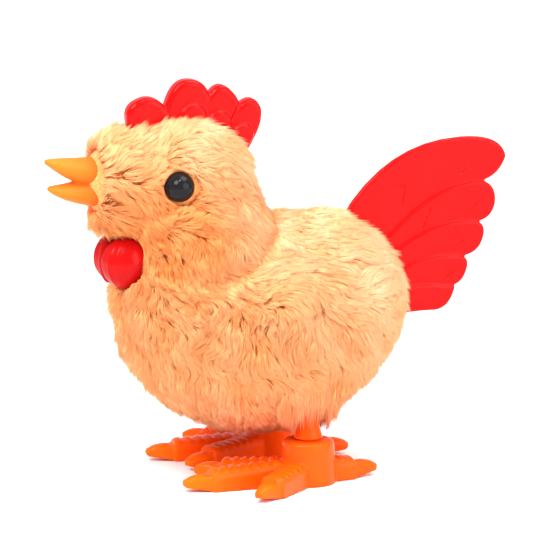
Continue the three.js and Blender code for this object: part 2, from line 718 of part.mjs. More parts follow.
function feather({ root, upper: over, tip, under, lower }, index) {
  const shape = new THREE.Shape();
  shape.moveTo(...root);
  for (const [control, end] of [over, tip, under, lower]) {
    shape.quadraticCurveTo(...control, ...end);
  }
  shape.lineTo(...root);
  const half = TAIL_THICKNESS / 2 - (FEATHERS.length - 1 - index) * (TAIL_STEP / 2);
  return plate(shape, -half, half, { curve: 5 });
}

function tail() {
  const fan = union(...FEATHERS.map(feather));
  const clear = cut(fan, envelope(SHELL_INSET - GAP));
  return union(clear, ...TAIL_TABS.map((tab) => tabPiece(tab, 0)));
}
const tailBody = tail();
add("tail_fan", tailBody, redPlastic);

// An open bill: flat along the top, with the lower half dropped.
function beak() {
  const [root, base] = [beakRoot, BEAK_UP];
  const side = new THREE.Shape();
  side.moveTo(root, base + 5);
  side.lineTo(root - 3.7, base + 5.1);
  side.quadraticCurveTo(root - 12, base + 5.6, root - 15, base + 5);
  side.quadraticCurveTo(root - 12.6, base + 2.4, root - 9.1, base);
  side.quadraticCurveTo(root - 12, base - 0.4, root - 14, base - 1.7);
  side.quadraticCurveTo(root - 10, base - 5.4, root, base - 5.6);
  const plan = new THREE.Shape();
  plan.moveTo(BEAK_HALF_WIDTH, root);
  plan.quadraticCurveTo(BEAK_HALF_WIDTH - 1.4, root - 9, 0.8, root - 15.2);
  plan.lineTo(-0.8, root - 15.2);
  plan.quadraticCurveTo(-BEAK_HALF_WIDTH + 1.4, root - 9, -BEAK_HALF_WIDTH, root);
  const fromAbove = new THREE.ExtrudeGeometry(plan, { depth: 30, bevelEnabled: false });
  const wide = 2 * BEAK_HALF_WIDTH;
  const bill = plate(side, -wide, wide).intersect(solid(fromAbove.translate(0, 0, base - 15)));
  return union(bill, beakPlug(0));
}
const beakBody = beak();
add("beak", beakBody, beakPlastic);

const wattleLobes = (room) =>
  union(
    ...[-1, 1].map((sign) =>
      ellipsoid(
        [sign * WATTLE.apart, WATTLE.y, WATTLE.up],
        WATTLE.half.map((h) => h + room),
        14,
        8,
      ),
    ),
  );
const shellKeepOut = envelope(SHELL_INSET - GAP);
add("wattle", union(cut(wattleLobes(0), shellKeepOut), wattlePeg(0)), wattlePlastic);

function eye(sign) {
  const depth = 2.6;
  const centre = [sign * (eyeSeat + EYE_BULGE - depth), EYE.y, EYE.up];
  const dome = ellipsoid(centre, [depth, EYE_RADIUS, EYE_RADIUS], 14, 8);
  return union(cut(dome, shellKeepOut), eyePeg(0, sign));
}
for (const { name, sign } of sides) add("eye_" + name, eye(sign), blackPlastic);

for (const { name, sign } of sides) {
  add("body_shell_" + name, shellHalf(sign), whitePlastic);
}

// The space that a piece passing through the cover needs.
function roomAround(body) {
  const { min, max } = body.boundingBox();
  return box(...[0, 1, 2].flatMap((axis) => [min[axis] - GAP, max[axis] + GAP]));
}

function coverHalf(sign) {
  const eyeEnds = sign > 0 ? [HEAD.half[0] / 2, far] : [-far, -HEAD.half[0] / 2];
  const eyeRoom = rod(EYE_RADIUS + GAP, ...eyeEnds, EYE.y, EYE.up);
  let half = cut(coverOutside, coverInside).intersect(halfSpace(sign));
  half = cut(half, legOpening(HUB_RADIUS, sign), ...[combBody, tailBody, beakBody].map(roomAround));
  half = cut(half, wattleLobes(GAP), wattlePeg(GAP), eyeRoom);
  if (sign < 0) {
    half = cut(half, bore(KNOB_STEM_RADIUS + GAP, -far, -5, GREAT_AT.y, GREAT_AT.up));
  }
  return half;
}
for (const { name, sign } of sides) add("plush_cover_" + name, coverHalf(sign), plush);

// ---------------------------------------------------------------- winding arbor and knob

const sideAtKnob = -halfWidthAt(GREAT_AT.y, GREAT_AT.up, 0);
const knobFace = sideAtKnob - 0.4; // the skirt clears the fur
const arborEnd = knobFace - KNOB_SKIRT + 1;
add("winding_arbor", rod(ARBOR_RADIUS, arborEnd, BRIDGE.to - GAP), steel, {
  at: axial(GREAT_AT),
});

// A skirt with a stem that reaches into the shell and a flat wing to hold.
function knob() {
  const wing = new THREE.Shape();
  wing.moveTo(-KNOB_RADIUS + 0.8, 0);
  wing.quadraticCurveTo(-KNOB_WING.halfHeight - 1, -KNOB_WING.length, 0, -KNOB_WING.length);
  wing.quadraticCurveTo(KNOB_WING.halfHeight + 1, -KNOB_WING.length, KNOB_RADIUS - 0.8, 0);
  const blade = new THREE.ExtrudeGeometry(wing, {
    depth: KNOB_WING.thickness,
    bevelEnabled: false,
    curveSegments: 8,
  });
  const outwards = new THREE.Matrix4().makeBasis(
    new THREE.Vector3(0, 0, 1),
    new THREE.Vector3(1, 0, 0),
    new THREE.Vector3(0, 1, 0),
  );
  blade.applyMatrix4(outwards);
  blade.translate(knobFace - KNOB_SKIRT + 0.5, -KNOB_WING.thickness / 2, 0);
  const whole = union(
    rod(KNOB_RADIUS, knobFace - KNOB_SKIRT, knobFace, 0, 0, 28),
    rod(KNOB_STEM_RADIUS, knobFace - 1, -CASE_HALF_WIDTH - 1.2, 0, 0, 20),
    solid(blade),
  );
  return cut(whole, bore(ARBOR_RADIUS + RUNNING_GAP, arborEnd - GAP, 0));
}
add("winding_knob", knob(), orangePlastic, { at: axial(GREAT_AT) });

export default bird;
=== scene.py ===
"""A wind-up hopping rooster: long fur over a plastic shell, gloss moulded fittings and a spring motor.

Metres, +Z up. The bird faces -Y and its left side is +X. Run as a script, it builds every piece
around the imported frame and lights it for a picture.
"""
import json
import math

import bpy
import numpy as np
from mathutils import Matrix, Vector, kdtree


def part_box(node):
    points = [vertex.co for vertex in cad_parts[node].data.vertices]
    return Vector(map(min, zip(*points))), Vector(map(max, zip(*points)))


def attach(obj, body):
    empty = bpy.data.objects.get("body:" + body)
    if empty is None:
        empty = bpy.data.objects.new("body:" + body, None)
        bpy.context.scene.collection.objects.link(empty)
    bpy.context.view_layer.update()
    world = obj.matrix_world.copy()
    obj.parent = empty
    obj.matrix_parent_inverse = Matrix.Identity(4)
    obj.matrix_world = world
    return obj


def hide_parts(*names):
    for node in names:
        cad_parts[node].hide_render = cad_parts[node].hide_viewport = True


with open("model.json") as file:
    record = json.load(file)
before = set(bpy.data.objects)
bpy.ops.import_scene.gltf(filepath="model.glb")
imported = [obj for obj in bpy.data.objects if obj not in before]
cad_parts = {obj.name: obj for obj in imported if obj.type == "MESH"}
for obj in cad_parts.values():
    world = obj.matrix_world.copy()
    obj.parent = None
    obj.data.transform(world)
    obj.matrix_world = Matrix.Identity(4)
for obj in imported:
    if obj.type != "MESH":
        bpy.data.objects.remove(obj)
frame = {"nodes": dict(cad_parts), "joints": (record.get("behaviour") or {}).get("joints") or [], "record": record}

bl_info = {
    "name": "Wind-up Hopping Rooster",
    "version": (1, 0, 0),
    "blender": (4, 5, 0),
    "location": "3D View > Sidebar > Rooster",
    "description": "Builds the fur, comb, tail, beak, feet and finishes of a wind-up rooster",
    "category": "Add Mesh",
}

MM = 0.001
SAME_PLACE = 1e-6

JOINT = {joint["name"]: Vector(joint["pos_m"]) for joint in frame["joints"]}
LEG_AXLE = JOINT["leg_rock"]
KNOB_AXIS = JOINT["winding_turn"]
FOOT_SPREAD = frame["record"]["mounts"][0]["pos_m"][0]
HEEL_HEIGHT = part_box("foot_left")[1].z
KNOB_LOW, KNOB_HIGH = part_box("winding_knob")
EYE_LOW, EYE_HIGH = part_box("eye_left")
EYE_CENTRE = (EYE_LOW + EYE_HIGH) / 2
EYE_RADIUS = (EYE_HIGH.z - EYE_LOW.z) / 2
EYE_STANDS = 4.6  # how much of an eye stands out of the fabric, in millimetres
WATTLE_AT = (3.7, -35.8, 51.1)  # middle of the left lobe, in millimetres
BILL_HEIGHT = 69.8  # where the halves of the beak meet, in millimetres

# Rounded forms of the bird at the tips of its fur: centre and half sizes, in millimetres.
FORMS = [
    ((0, -4.5, 35.5), (25.5, 33.3, 25)),  # belly
    ((0, -17, 42), (21, 22.6, 17)),  # breast
    ((0, 9, 39.5), (22.5, 22, 21.5)),  # rump
    ((0, -1, 48), (15, 12.5, 13.9)),  # saddle
    ((0, -17.5, 52), (19.5, 18.5, 20)),  # neck
    ((0, -20.5, 62), (17.5, 18, 13)),  # cheeks
    ((0, -22.5, 69), (17.3, 18.5, 15.5)),  # head
    ((0, -31.5, 69.9), (14, 17.6, 13.4)),  # face
    ((0, -36, 61.5), (9, 10.5, 7)),  # chin
]
FILLED = 0.6 * MM  # what smoothing takes off the forms


# ---------------- settings


def length_setting(name, default, description):
    return bpy.props.FloatProperty(
        name=name, default=default * MM, min=0, unit="LENGTH", precision=5, description=description
    )


def colour_setting(name, default, description):
    return bpy.props.FloatVectorProperty(
        name=name, default=default, min=0, max=1, size=3, subtype="COLOR", description=description
    )


class FurSettings(bpy.types.PropertyGroup):
    """The coat and the fabric that it grows from."""

    pile: length_setting("Pile", 4.2, "Height of the fur from its fabric")
    fuzz: length_setting("Fuzz", 0.8, "How far stray tips stand out of the bird's outline")
    hair_width: length_setting("Hair width", 0.15, "Thickness of one hair at its middle")
    hairs: bpy.props.IntProperty(
        name="Hairs", default=280000, min=1000, description="Number of hairs in the whole coat"
    )
    tuft: length_setting("Tuft spacing", 1.05, "Distance between the tips that hairs gather to")
    fabric: length_setting("Fabric thickness", 0.7, "Thickness of the backing fabric")
    pale: colour_setting("Pale tips", (1.0, 0.7, 0.42), "Colour of the hair tips on the back and crown")
    peach: colour_setting("Peach tips", (1.0, 0.52, 0.23), "Colour of the hair tips below")
    root: colour_setting("Roots", (1.0, 0.38, 0.1), "Colour of the hair at the fabric")
    seed: bpy.props.IntProperty(name="Seed", default=7, description="Start of the random draws")


class TrimSettings(bpy.types.PropertyGroup):
    """The moulded pieces."""

    comb_thickness: length_setting("Comb thickness", 4.4, "Thickness of the comb")
    tail_thickness: length_setting("Tail thickness", 4.4, "Thickness of the lowest tail feather")
    feather_step: length_setting("Feather step", 0.7, "How much thinner each higher feather is")
    rim: length_setting("Rim rounding", 1.2, "Rounding of the comb's edge")
    toe_width: length_setting("Toe width", 6.0, "Width of a toe")
    claw_length: length_setting("Claw length", 6.5, "Length of a claw")
    red: colour_setting("Comb red", (0.6, 0.003, 0.003), "Colour of the comb and the tail")
    dark_red: colour_setting("Wattle red", (0.42, 0.003, 0.003), "Colour of the wattle")
    orange: colour_setting("Foot orange", (1.0, 0.075, 0.002), "Colour of the feet where they are thick")
    amber: colour_setting("Claw amber", (1.0, 0.13, 0.003), "Colour of the claws")
    bill: colour_setting("Bill orange", (0.95, 0.125, 0.01), "Colour of the beak")


# ---------------- modelling by hand


def deselect_all():
    if bpy.context.object and bpy.context.object.mode != "OBJECT":
        bpy.ops.object.mode_set(mode="OBJECT")
    bpy.ops.object.select_all(action="DESELECT")


def take(*pieces):
    """Selects these objects alone, with the first of them active."""
    deselect_all()
    for piece in pieces:
        piece.select_set(True)
    bpy.context.view_layer.objects.active = pieces[0]


def settle(piece):
    """Puts the object's place, turn and size into its mesh."""
    take(piece)
    bpy.ops.object.transform_apply(location=True, rotation=True, scale=True)
    return piece


def open_on(piece, kind, wanted):
    """Opens edit mode with the wanted vertices, edges or polygons selected."""
    take(piece)
    mesh = piece.data
    modes = ("vertices", "edges", "polygons")
    bpy.context.tool_settings.mesh_select_mode = [kind == mode for mode in modes]
    for mode in modes:
        for item in getattr(mesh, mode):
            item.select = False
    for item in getattr(mesh, kind):
        item.select = bool(wanted(item))
    bpy.ops.object.mode_set(mode="EDIT")


def close():
    bpy.ops.object.mode_set(mode="OBJECT")


def make_outward(piece, merge=0.00001):
    """Merges doubles and points every face out."""
    open_on(piece, "vertices", lambda v: True)
    bpy.ops.mesh.remove_doubles(threshold=merge)
    bpy.ops.mesh.normals_make_consistent(inside=False)
    close()
    return piece


def modify(piece, kind, **settings):
    """Adds one modifier and applies it."""
    take(piece)
    modifier = piece.modifiers.new(kind.title(), kind)
    for name, value in settings.items():
        setattr(modifier, name, value)
    bpy.ops.object.modifier_apply(modifier=modifier.name)
    return piece


def joined(pieces):
    take(*pieces)
    if len(pieces) > 1:
        bpy.ops.object.join()
    return bpy.context.object


def combine(piece, other, operation):
    modify(piece, "BOOLEAN", operation=operation, object=other, solver="EXACT")
    bpy.data.objects.remove(other)
    return piece


def moulded(piece, voxel, rounds):
    """Runs overlapping bodies together as one moulding with soft inner corners."""
    modify(piece, "REMESH", mode="VOXEL", voxel_size=voxel, use_smooth_shade=True)
    return modify(piece, "SMOOTH", factor=0.5, iterations=rounds)


def block(low, high):
    low, high = Vector(low), Vector(high)
    bpy.ops.mesh.primitive_cube_add(size=1, location=(low + high) / 2, scale=high - low)
    return settle(bpy.context.object)


def ball(centre, half, around=32, rings=20):
    bpy.ops.mesh.primitive_uv_sphere_add(
        segments=around, ring_count=rings, radius=1, location=centre, scale=half
    )
    return settle(bpy.context.object)


def round_edges(piece, width, wanted, segments=4):
    open_on(piece, "edges", wanted)
    bpy.ops.mesh.bevel(offset=width, segments=segments, affect="EDGES", profile=0.5)
    close()
    return piece


def loft(rings, axis, sides=40):
    """A closed body drawn through round sections, each a centre and its two half sizes across."""
    across = [i for i in range(3) if i != "XYZ".index(axis)]
    turn = {"X": (0, math.pi / 2, 0), "Y": (math.pi / 2, 0, 0), "Z": (0, 0, 0)}[axis]
    centre, half = rings[0]
    bpy.ops.mesh.primitive_circle_add(
        vertices=sides, radius=1, fill_type="NGON", location=centre, rotation=turn
    )
    piece = settle(bpy.context.object)

    def stretched(size, middle):
        value = [1, 1, 1]
        value[across[0]], value[across[1]] = size
        bpy.ops.transform.resize(value=value, center_override=middle)

    open_on(piece, "polygons", lambda f: True)
    stretched(half, centre)
    for middle, size in rings[1:]:
        step = Vector(middle) - Vector(centre)
        bpy.ops.mesh.extrude_region_move(TRANSFORM_OT_translate={"value": step})
        stretched([new / old for new, old in zip(size, half)], middle)
        centre, half = middle, size
    close()
    return make_outward(piece)


def turned(profile, origin, axis, sides=40):
    """A round body about a line through a point.

    The profile gives places along the line, measured from the point, and radii, in millimetres.
    """
    along = Vector([name == axis for name in "XYZ"])
    rings = [(Vector(origin) + along * at * MM, (radius * MM,) * 2) for at, radius in profile]
    return loft(rings, axis, sides)


def plate(start, steps, low, high, rim=0.0, curve=8):
    """A plate parallel to the middle plane between two places along X.

    The outline starts at a point and follows quadratic arcs, each a control point and an end, in
    millimetres along Y and Z. The rim is the rounding of its edges.
    """
    drawing = bpy.data.curves.new("outline", "CURVE")
    drawing.dimensions = "2D"
    drawing.fill_mode = "BOTH"
    drawing.resolution_u = curve
    spline = drawing.splines.new("BEZIER")
    spline.bezier_points.add(len(steps) - 1)
    spline.use_cyclic_u = True
    ends = [Vector(start)] + [Vector(end) for _, end in steps[:-1]]
    for i, (control, end) in enumerate(steps):
        here, there = spline.bezier_points[i], spline.bezier_points[(i + 1) % len(steps)]
        pull = Vector(control)
        here.co = (*ends[i] * MM, 0)
        here.handle_right = (*(ends[i] + (pull - ends[i]) * 2 / 3) * MM, 0)
        there.handle_left = (*(Vector(end) + (pull - Vector(end)) * 2 / 3) * MM, 0)
    piece = bpy.data.objects.new("plate", drawing)
    bpy.context.collection.objects.link(piece)
    take(piece)
    bpy.ops.object.convert(target="MESH")
    piece = bpy.context.object
    piece.matrix_world = Matrix(((0, 0, 1, low), (1, 0, 0, 0), (0, 1, 0, 0), (0, 0, 0, 1)))
    settle(piece)
    open_on(piece, "polygons", lambda f: True)
    bpy.ops.mesh.remove_doubles(threshold=0.02 * MM)
    bpy.ops.mesh.dissolve_faces()
    bpy.ops.mesh.extrude_region_move(TRANSFORM_OT_translate={"value": (high - low, 0, 0)})
    close()
    make_outward(piece)
    if rim:
        points = piece.data.vertices
        faces = [{v.index for v in points if abs(v.co.x - x) < SAME_PLACE} for x in (low, high)]
        round_edges(piece, rim, lambda e: any(set(e.vertices) <= face for face in faces))
    return piece


def shade(piece, degrees):
    """Smooth shading that keeps flat faces flat."""
    take(piece)
    bpy.ops.object.shade_smooth_by_angle(angle=math.radians(degrees))
    return modify(piece, "WEIGHTED_NORMAL", keep_sharp=True)


def both_sides(left):
    """The left piece and its mirror image, each with the name and the sign of its side."""
    return (left, "left", 1), (mirrored(left), "right", -1)


def mirrored(piece):
    """A copy with its own mesh on the other side of the middle plane."""
    other = piece.copy()
    other.data = piece.data.copy()
    bpy.context.collection.objects.link(other)
    other.scale.x = -1
    settle(other)
    open_on(other, "vertices", lambda v: True)
    bpy.ops.mesh.normals_make_consistent(inside=False)
    close()
    return other


def finish_piece(piece, name, body, slot, material, *nodes):
    """Names a finished piece, gives it its finish and puts it on its body."""
    piece.name = name
    piece.data.name = name
    piece.data.materials.clear()
    piece.data.materials.append(material)
    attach(piece, body)
    if nodes:
        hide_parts(*nodes)
    return piece


# ---------------- materials


class Finish:
    """A node material with one Principled surface."""

    def __init__(self, name, colour, roughness, **values):
        self.material = bpy.data.materials.new(name)
        self.material.use_nodes = True
        self.tree = self.material.node_tree
        self.surface = self.tree.nodes["Principled BSDF"]
        self.set(self.surface, {"Base Color": (*colour, 1), "Roughness": roughness, **values})
        self.place = self.tree.nodes.new("ShaderNodeTexCoord").outputs["Object"]

    def set(self, node, values):
        for socket, value in values.items():
            if isinstance(value, bpy.types.NodeSocket):
                self.tree.links.new(value, node.inputs[socket])
            else:
                node.inputs[socket].default_value = value

    def add(self, kind, values=None, **fields):
        node = self.tree.nodes.new("ShaderNode" + kind)
        for field, value in fields.items():
            setattr(node, field, value)
        self.set(node, values or {})
        return node

    def noise(self, scale, detail=3.0, stretch=(1, 1, 1)):
        mapped = self.add("Mapping", {"Vector": self.place, "Scale": stretch}).outputs[0]
        return self.add("TexNoise", {"Vector": mapped, "Scale": scale, "Detail": detail}).outputs[0]

    def spread(self, value, low, high, to_low=0.0, to_high=1.0):
        """A value taken from one range to another, held at its ends."""
        ranges = {"Value": value, "From Min": low, "From Max": high, "To Min": to_low, "To Max": to_high}
        return self.add("MapRange", ranges, interpolation_type="SMOOTHSTEP").outputs[0]

    def patches(self, scale, to_low=0.0, to_high=1.0):
        """Soft patches between two values."""
        return self.spread(self.noise(scale), 0.3, 0.7, to_low, to_high)

    def reach(self, place, weights):
        """Distance from a place, with its parts along X, Y and Z weighted."""
        apart = self.add("VectorMath", {0: self.place, 1: place}, operation="SUBTRACT").outputs[0]
        across = self.add("VectorMath", {0: apart, 1: weights}, operation="MULTIPLY").outputs[0]
        return self.add("VectorMath", {0: across}, operation="LENGTH").outputs["Value"]

    def math(self, operation, first, second=0.0):
        return self.add("Math", {0: first, 1: second}, operation=operation).outputs[0]

    def mix(self, share, first, second, blend="MIX"):
        node = self.add("Mix", data_type="RGBA", blend_type=blend)
        self.set(node, {0: share, 6: first, 7: second})
        return node.outputs[2]

    def bump(self, height, distance, strength=1.0):
        values = {"Height": height, "Distance": distance, "Strength": strength}
        self.set(self.surface, {"Normal": self.add("Bump", values).outputs[0]})


def tinted(colour, factor):
    return (*[min(1.0, c * factor) for c in colour], 1)


def moulded_plastic(name, colour, roughness, flow=900.0, **values):
    """Coloured plastic: cloudy pigment, a faint moulding texture and small changes of gloss."""
    finish = Finish(name, colour, roughness, **{"Specular IOR Level": 0.09, **values})
    shades = finish.mix(finish.patches(180), tinted(colour, 0.9), tinted(colour, 1.06))
    gloss = finish.patches(420, roughness * 0.8, roughness * 1.25)
    finish.set(finish.surface, {"Base Color": shades, "Roughness": gloss})
    finish.bump(finish.noise(flow, 2.0), 0.00004, 0.5)
    return finish


def foot_plastic(name, trim, heel):
    """Translucent orange: deep red-orange by the heel, as painted shade under the body, and amber towards the
    claws and thin edges, as painted light through the thin plastic.
    """
    finish = moulded_plastic(name, trim.orange, 0.2)
    # Painted shade and light: red-orange near the heel stands for the shade under the body, and amber further out
    # stands for light through the thin claws.
    wander = finish.math("MULTIPLY", finish.noise(140), 0.006)
    reach = finish.math("ADD", finish.reach(heel, (1, 1, 0.4)), wander)
    colour = finish.mix(finish.spread(reach, 0.017, 0.036), (*trim.orange, 1), (*trim.amber, 1))
    finish.set(finish.surface, {
        "Base Color": colour, "Subsurface Weight": 0.25,
        "Subsurface Radius": (1.0, 0.35, 0.05), "Subsurface Scale": 0.0012,
    })
    return finish.material


def brushed_steel():
    finish = Finish("bright_steel", (0.62, 0.62, 0.63), 0.28, Metallic=1.0)
    streaks = finish.noise(600, 4.0, stretch=(0.08, 1, 1))
    gloss = finish.spread(streaks, 0.3, 0.7, 0.2, 0.38)
    tone = finish.mix(finish.noise(150), (0.5, 0.5, 0.51, 1), (0.7, 0.7, 0.7, 1))
    finish.set(finish.surface, {"Base Color": tone, "Roughness": gloss})
    finish.bump(streaks, 0.00003, 0.4)
    return finish.material


def backing_fabric(coat):
    """The knitted backing, seen only in the partings of the fur."""
    finish = Finish("fur_backing", coat.root, 0.9, **{"Sheen Weight": 0.3})
    knit = finish.add("TexVoronoi", {"Vector": finish.place, "Scale": 1400.0}).outputs["Distance"]
    shades = finish.mix(finish.spread(knit, 0.1, 0.7), tinted(coat.root, 1.1), tinted(coat.root, 0.7))
    finish.set(finish.surface, {"Base Color": shades})
    finish.bump(knit, 0.0002, 0.8)
    return finish.material


def fur_finish(coat):
    """Hair that is deeper in colour at its root and paler at its tip. Its tips are palest on top and behind and
    paler low down, as painted light, and deeper orange round the neck, the cheeks and the hollows of the coat, as
    painted shade.
    """
    finish = Finish("long_fur", coat.peach, 0.6, **{"Specular IOR Level": 0.3})
    along = finish.add("Attribute", attribute_name="along").outputs["Fac"]
    tone = finish.add("Attribute", attribute_name="tone").outputs["Fac"]
    # Painted light: the tips are paler on top and behind, where the light falls, and more orange below and in
    # front.
    up_and_back = {0: finish.place, 1: (0, 0.55, 0.6)}
    raised = finish.add("VectorMath", up_and_back, operation="DOT_PRODUCT").outputs["Value"]
    wander = finish.math("MULTIPLY", finish.noise(70), 0.012)
    painted_light_share = finish.spread(finish.math("ADD", raised, wander), 0.018, 0.046)
    tips = finish.mix(painted_light_share, (*coat.peach, 1), (*coat.pale, 1))
    # Painted light: the tips are paler low down, which brightens the shaded underside.
    height = finish.add("SeparateXYZ", {"Vector": finish.place}).outputs["Z"]
    tips = finish.mix(finish.spread(height, 0.024, 0.010, 0.0, 0.6), tips, (*coat.pale, 1))
    # Painted shade: the tips are deeper orange round the neck and the cheeks, where the coat lies in shade.
    painted_neck_shade = finish.spread(finish.reach((0, -0.027, 0.06), (0, 1, 1)), 0.006, 0.02, 1.0, 0.0)
    tips = finish.mix(finish.math("MULTIPLY", painted_neck_shade, 0.75), tips, (*coat.root, 1))
    body = finish.mix(finish.spread(along, 0.0, 0.75), (*coat.root, 1), tips)
    # Random tone, and the painted shade of the hollows.
    tone_and_hollow_shade = finish.mix(tone, (1, 1, 1, 1), (1.0, 0.72, 0.5, 1))
    colour = finish.mix(1.0, body, tone_and_hollow_shade, blend="MULTIPLY")
    finish.set(finish.surface, {"Base Color": colour})
    return finish.material


# ---------------- fur


def ramp(value, low, high):
    share = np.clip((value - low) / (high - low), 0, 1)
    return share * share * (3 - 2 * share)


def unit(vectors):
    return vectors / np.maximum(np.linalg.norm(vectors, axis=1, keepdims=True), 1e-9)


def blend_rows(first, second, share):
    return first + (np.asarray(second) - first) * share[:, None]


def waves(points, spacing, draws, count=7):
    """Smooth random values between about -1 and 1, that change over the given spacing."""
    total = np.zeros(len(points))
    for _ in range(count):
        direction = unit(draws.normal(size=(1, 3)))[0]
        phase = draws.uniform(0, 2 * math.pi)
        rate = draws.uniform(0.7, 1.4)
        total += np.sin(points @ direction * (2 * math.pi / spacing) * rate + phase)
    return total / math.sqrt(count)


def fabric_surface(inset, voxel=1.0 * MM):
    """The bird's rounded body, so far inside the tips of its fur, with the forms run together."""
    forms = []
    for centre, half in FORMS:
        size = Vector(half) * MM - Vector([inset - FILLED] * 3)
        forms.append(ball(Vector(centre) * MM, size, 64, 40))
    return moulded(joined(forms), voxel, 50)


def scattered(surface, count, draws):
    """Points spread evenly over a surface, in millimetres, with their normals."""
    mesh = surface.data
    mesh.calc_loop_triangles()
    places = np.zeros(len(mesh.vertices) * 3)
    normals = np.zeros(len(mesh.vertices) * 3)
    corners = np.zeros(len(mesh.loop_triangles) * 3, int)
    mesh.vertices.foreach_get("co", places)
    mesh.vertices.foreach_get("normal", normals)
    mesh.loop_triangles.foreach_get("vertices", corners)
    places, normals, corners = places.reshape(-1, 3), normals.reshape(-1, 3), corners.reshape(-1, 3)
    a, b, c = (places[corners[:, i]] for i in range(3))
    areas = np.linalg.norm(np.cross(b - a, c - a), axis=1)
    picked = draws.choice(len(corners), count, p=areas / areas.sum())
    shares = draws.dirichlet((1, 1, 1), count)
    point = (places[corners[picked]] * shares[:, :, None]).sum(1)
    normal = unit((normals[corners[picked]] * shares[:, :, None]).sum(1))
    return point / MM, normal


# How the left side is brushed: places in millimetres, and the way the hair lies there.
BRUSHING = [
    ((0, -42, 77), (0.2, 0.1, 1)),  # over the beak
    ((8, -41, 70), (0.7, 0.6, 0.1)),  # beside the beak
    ((4, -42, 62), (0.2, -0.3, -1)),  # chin
    ((4, -36, 82), (0.4, 0.6, 0.7)),  # forehead
    ((6, -25, 84), (0.6, 1, 0.3)),  # crown
    ((14, -35, 72), (0.2, 1, 0.25)),  # before the eye
    ((15, -20, 72), (0, 1, -0.1)),  # behind the eye
    ((14, -30, 63), (0.1, 0.7, -0.7)),  # cheek
    ((8, -7, 72), (0.2, 0.6, -0.8)),  # back of the head
    ((18, -16, 57), (0.1, 0.45, -0.9)),  # neck
    ((8, -36, 50), (0.5, 0.3, -0.8)),  # throat
    ((10, -38, 38), (0.3, 0.15, -1)),  # breast
    ((6, 0, 61), (0.5, 1, -0.2)),  # saddle
    ((10, 14, 60), (0.3, 1, 0.05)),  # back
    ((21, 8, 50), (0.1, 0.9, -0.5)),  # thigh
    ((10, 30, 46), (0.3, 0.8, -0.4)),  # rump
    ((25, -6, 38), (0, 0.35, -0.9)),  # flank
    ((20, -2, 22), (0.1, 0.15, -1)),  # lower flank
    ((8, -12, 12), (0.1, 0.1, -1)),  # belly
    ((6, 26, 28), (0.1, 0.5, -0.9)),  # under the tail
]
BRUSH_REACH = 9.0
WHORL = (22, -5.7, 43)  # on each flank, where the hair turns round on itself
HAIRS_IN_PIECE = 33000

# Partings of the fur round the fittings, in millimetres.
COMB_PARTING = (-36.5, -5, 68)  # front, rear and foot of the strip with no hair
COMB_FACE = (-37.5, -3, 70)  # the same of the strip where hair lies against the comb
TAIL_PARTING = (14, 35.5, 61)  # front, foot and top
TAIL_FACE = (13, 34.5)
BILL_PARTING = (-34, 69.7, 5.4, 5.5)  # rear, height and half sizes across
BILL_ROOT = (-36, 5.8)  # hair further forward stays outside this radius
BILL_FRONT = (-44.3, 5.5, 8)  # where hair over the beak ends, its inner and outer radius
BILL_SLOPE = 0.6
WATTLE_PARTING = (5.3, 5.7, 6.2)  # half sizes
LEG_PARTING = (3.5, 0.72, 25)  # radius, how much distance along Y counts, and its top
LEG_ROOM = (2.9, 4.4, 24)  # half sizes of the space that a leg rocks in, and its top
HEEL_SIZE = (8, 10)
LOWEST_HAIR = (11.6, 9.8)  # over the heels and elsewhere
KNOB_PARTING = (-12, 3.4)  # the hair's inner end and its radius
KNOB_SKIRT = (-25.6, 7.2)  # behind the knob's skirt, and its radius
CLEARANCE = 0.2  # between a plate's face and the hair beside it


def lie_of_hair(points, normals, draws):
    """Which way the hair is brushed at each point, along the surface."""
    side = np.tanh(points[:, 0] / 4)
    folded = points * [0, 1, 1] + np.abs(points) * [1, 0, 0]
    brushed = np.zeros_like(points)
    for place, direction in BRUSHING:
        apart = ((folded - np.array(place)) ** 2).sum(1)
        weight = np.exp(-apart / (2 * BRUSH_REACH**2)) + 1e-9
        brushed += weight[:, None] * unit(np.array([direction], float))
    brushed = unit(brushed)
    brushed[:, 0] *= side
    apart = points - WHORL
    apart[:, 0] = points[:, 0] - np.sign(points[:, 0]) * WHORL[0]
    near = 1 - ramp(np.linalg.norm(apart, axis=1), 2, 13)
    around = np.cross(apart, normals) * np.sign(points[:, :1])
    brushed = blend_rows(brushed, unit(around + 0.5 * apart), 0.5 * near)
    flat = brushed - normals * (brushed * normals).sum(1, keepdims=True)
    sideways = np.cross(normals, flat)
    turn = 0.55 * waves(points, 15, draws) + 0.45 * waves(points, 5.5, draws)
    return flat * np.cos(turn)[:, None] + sideways * np.sin(turn)[:, None]


def in_form(points, centre, half):
    return (((points - np.array(centre)) / np.array(half)) ** 2).sum(1) < 1


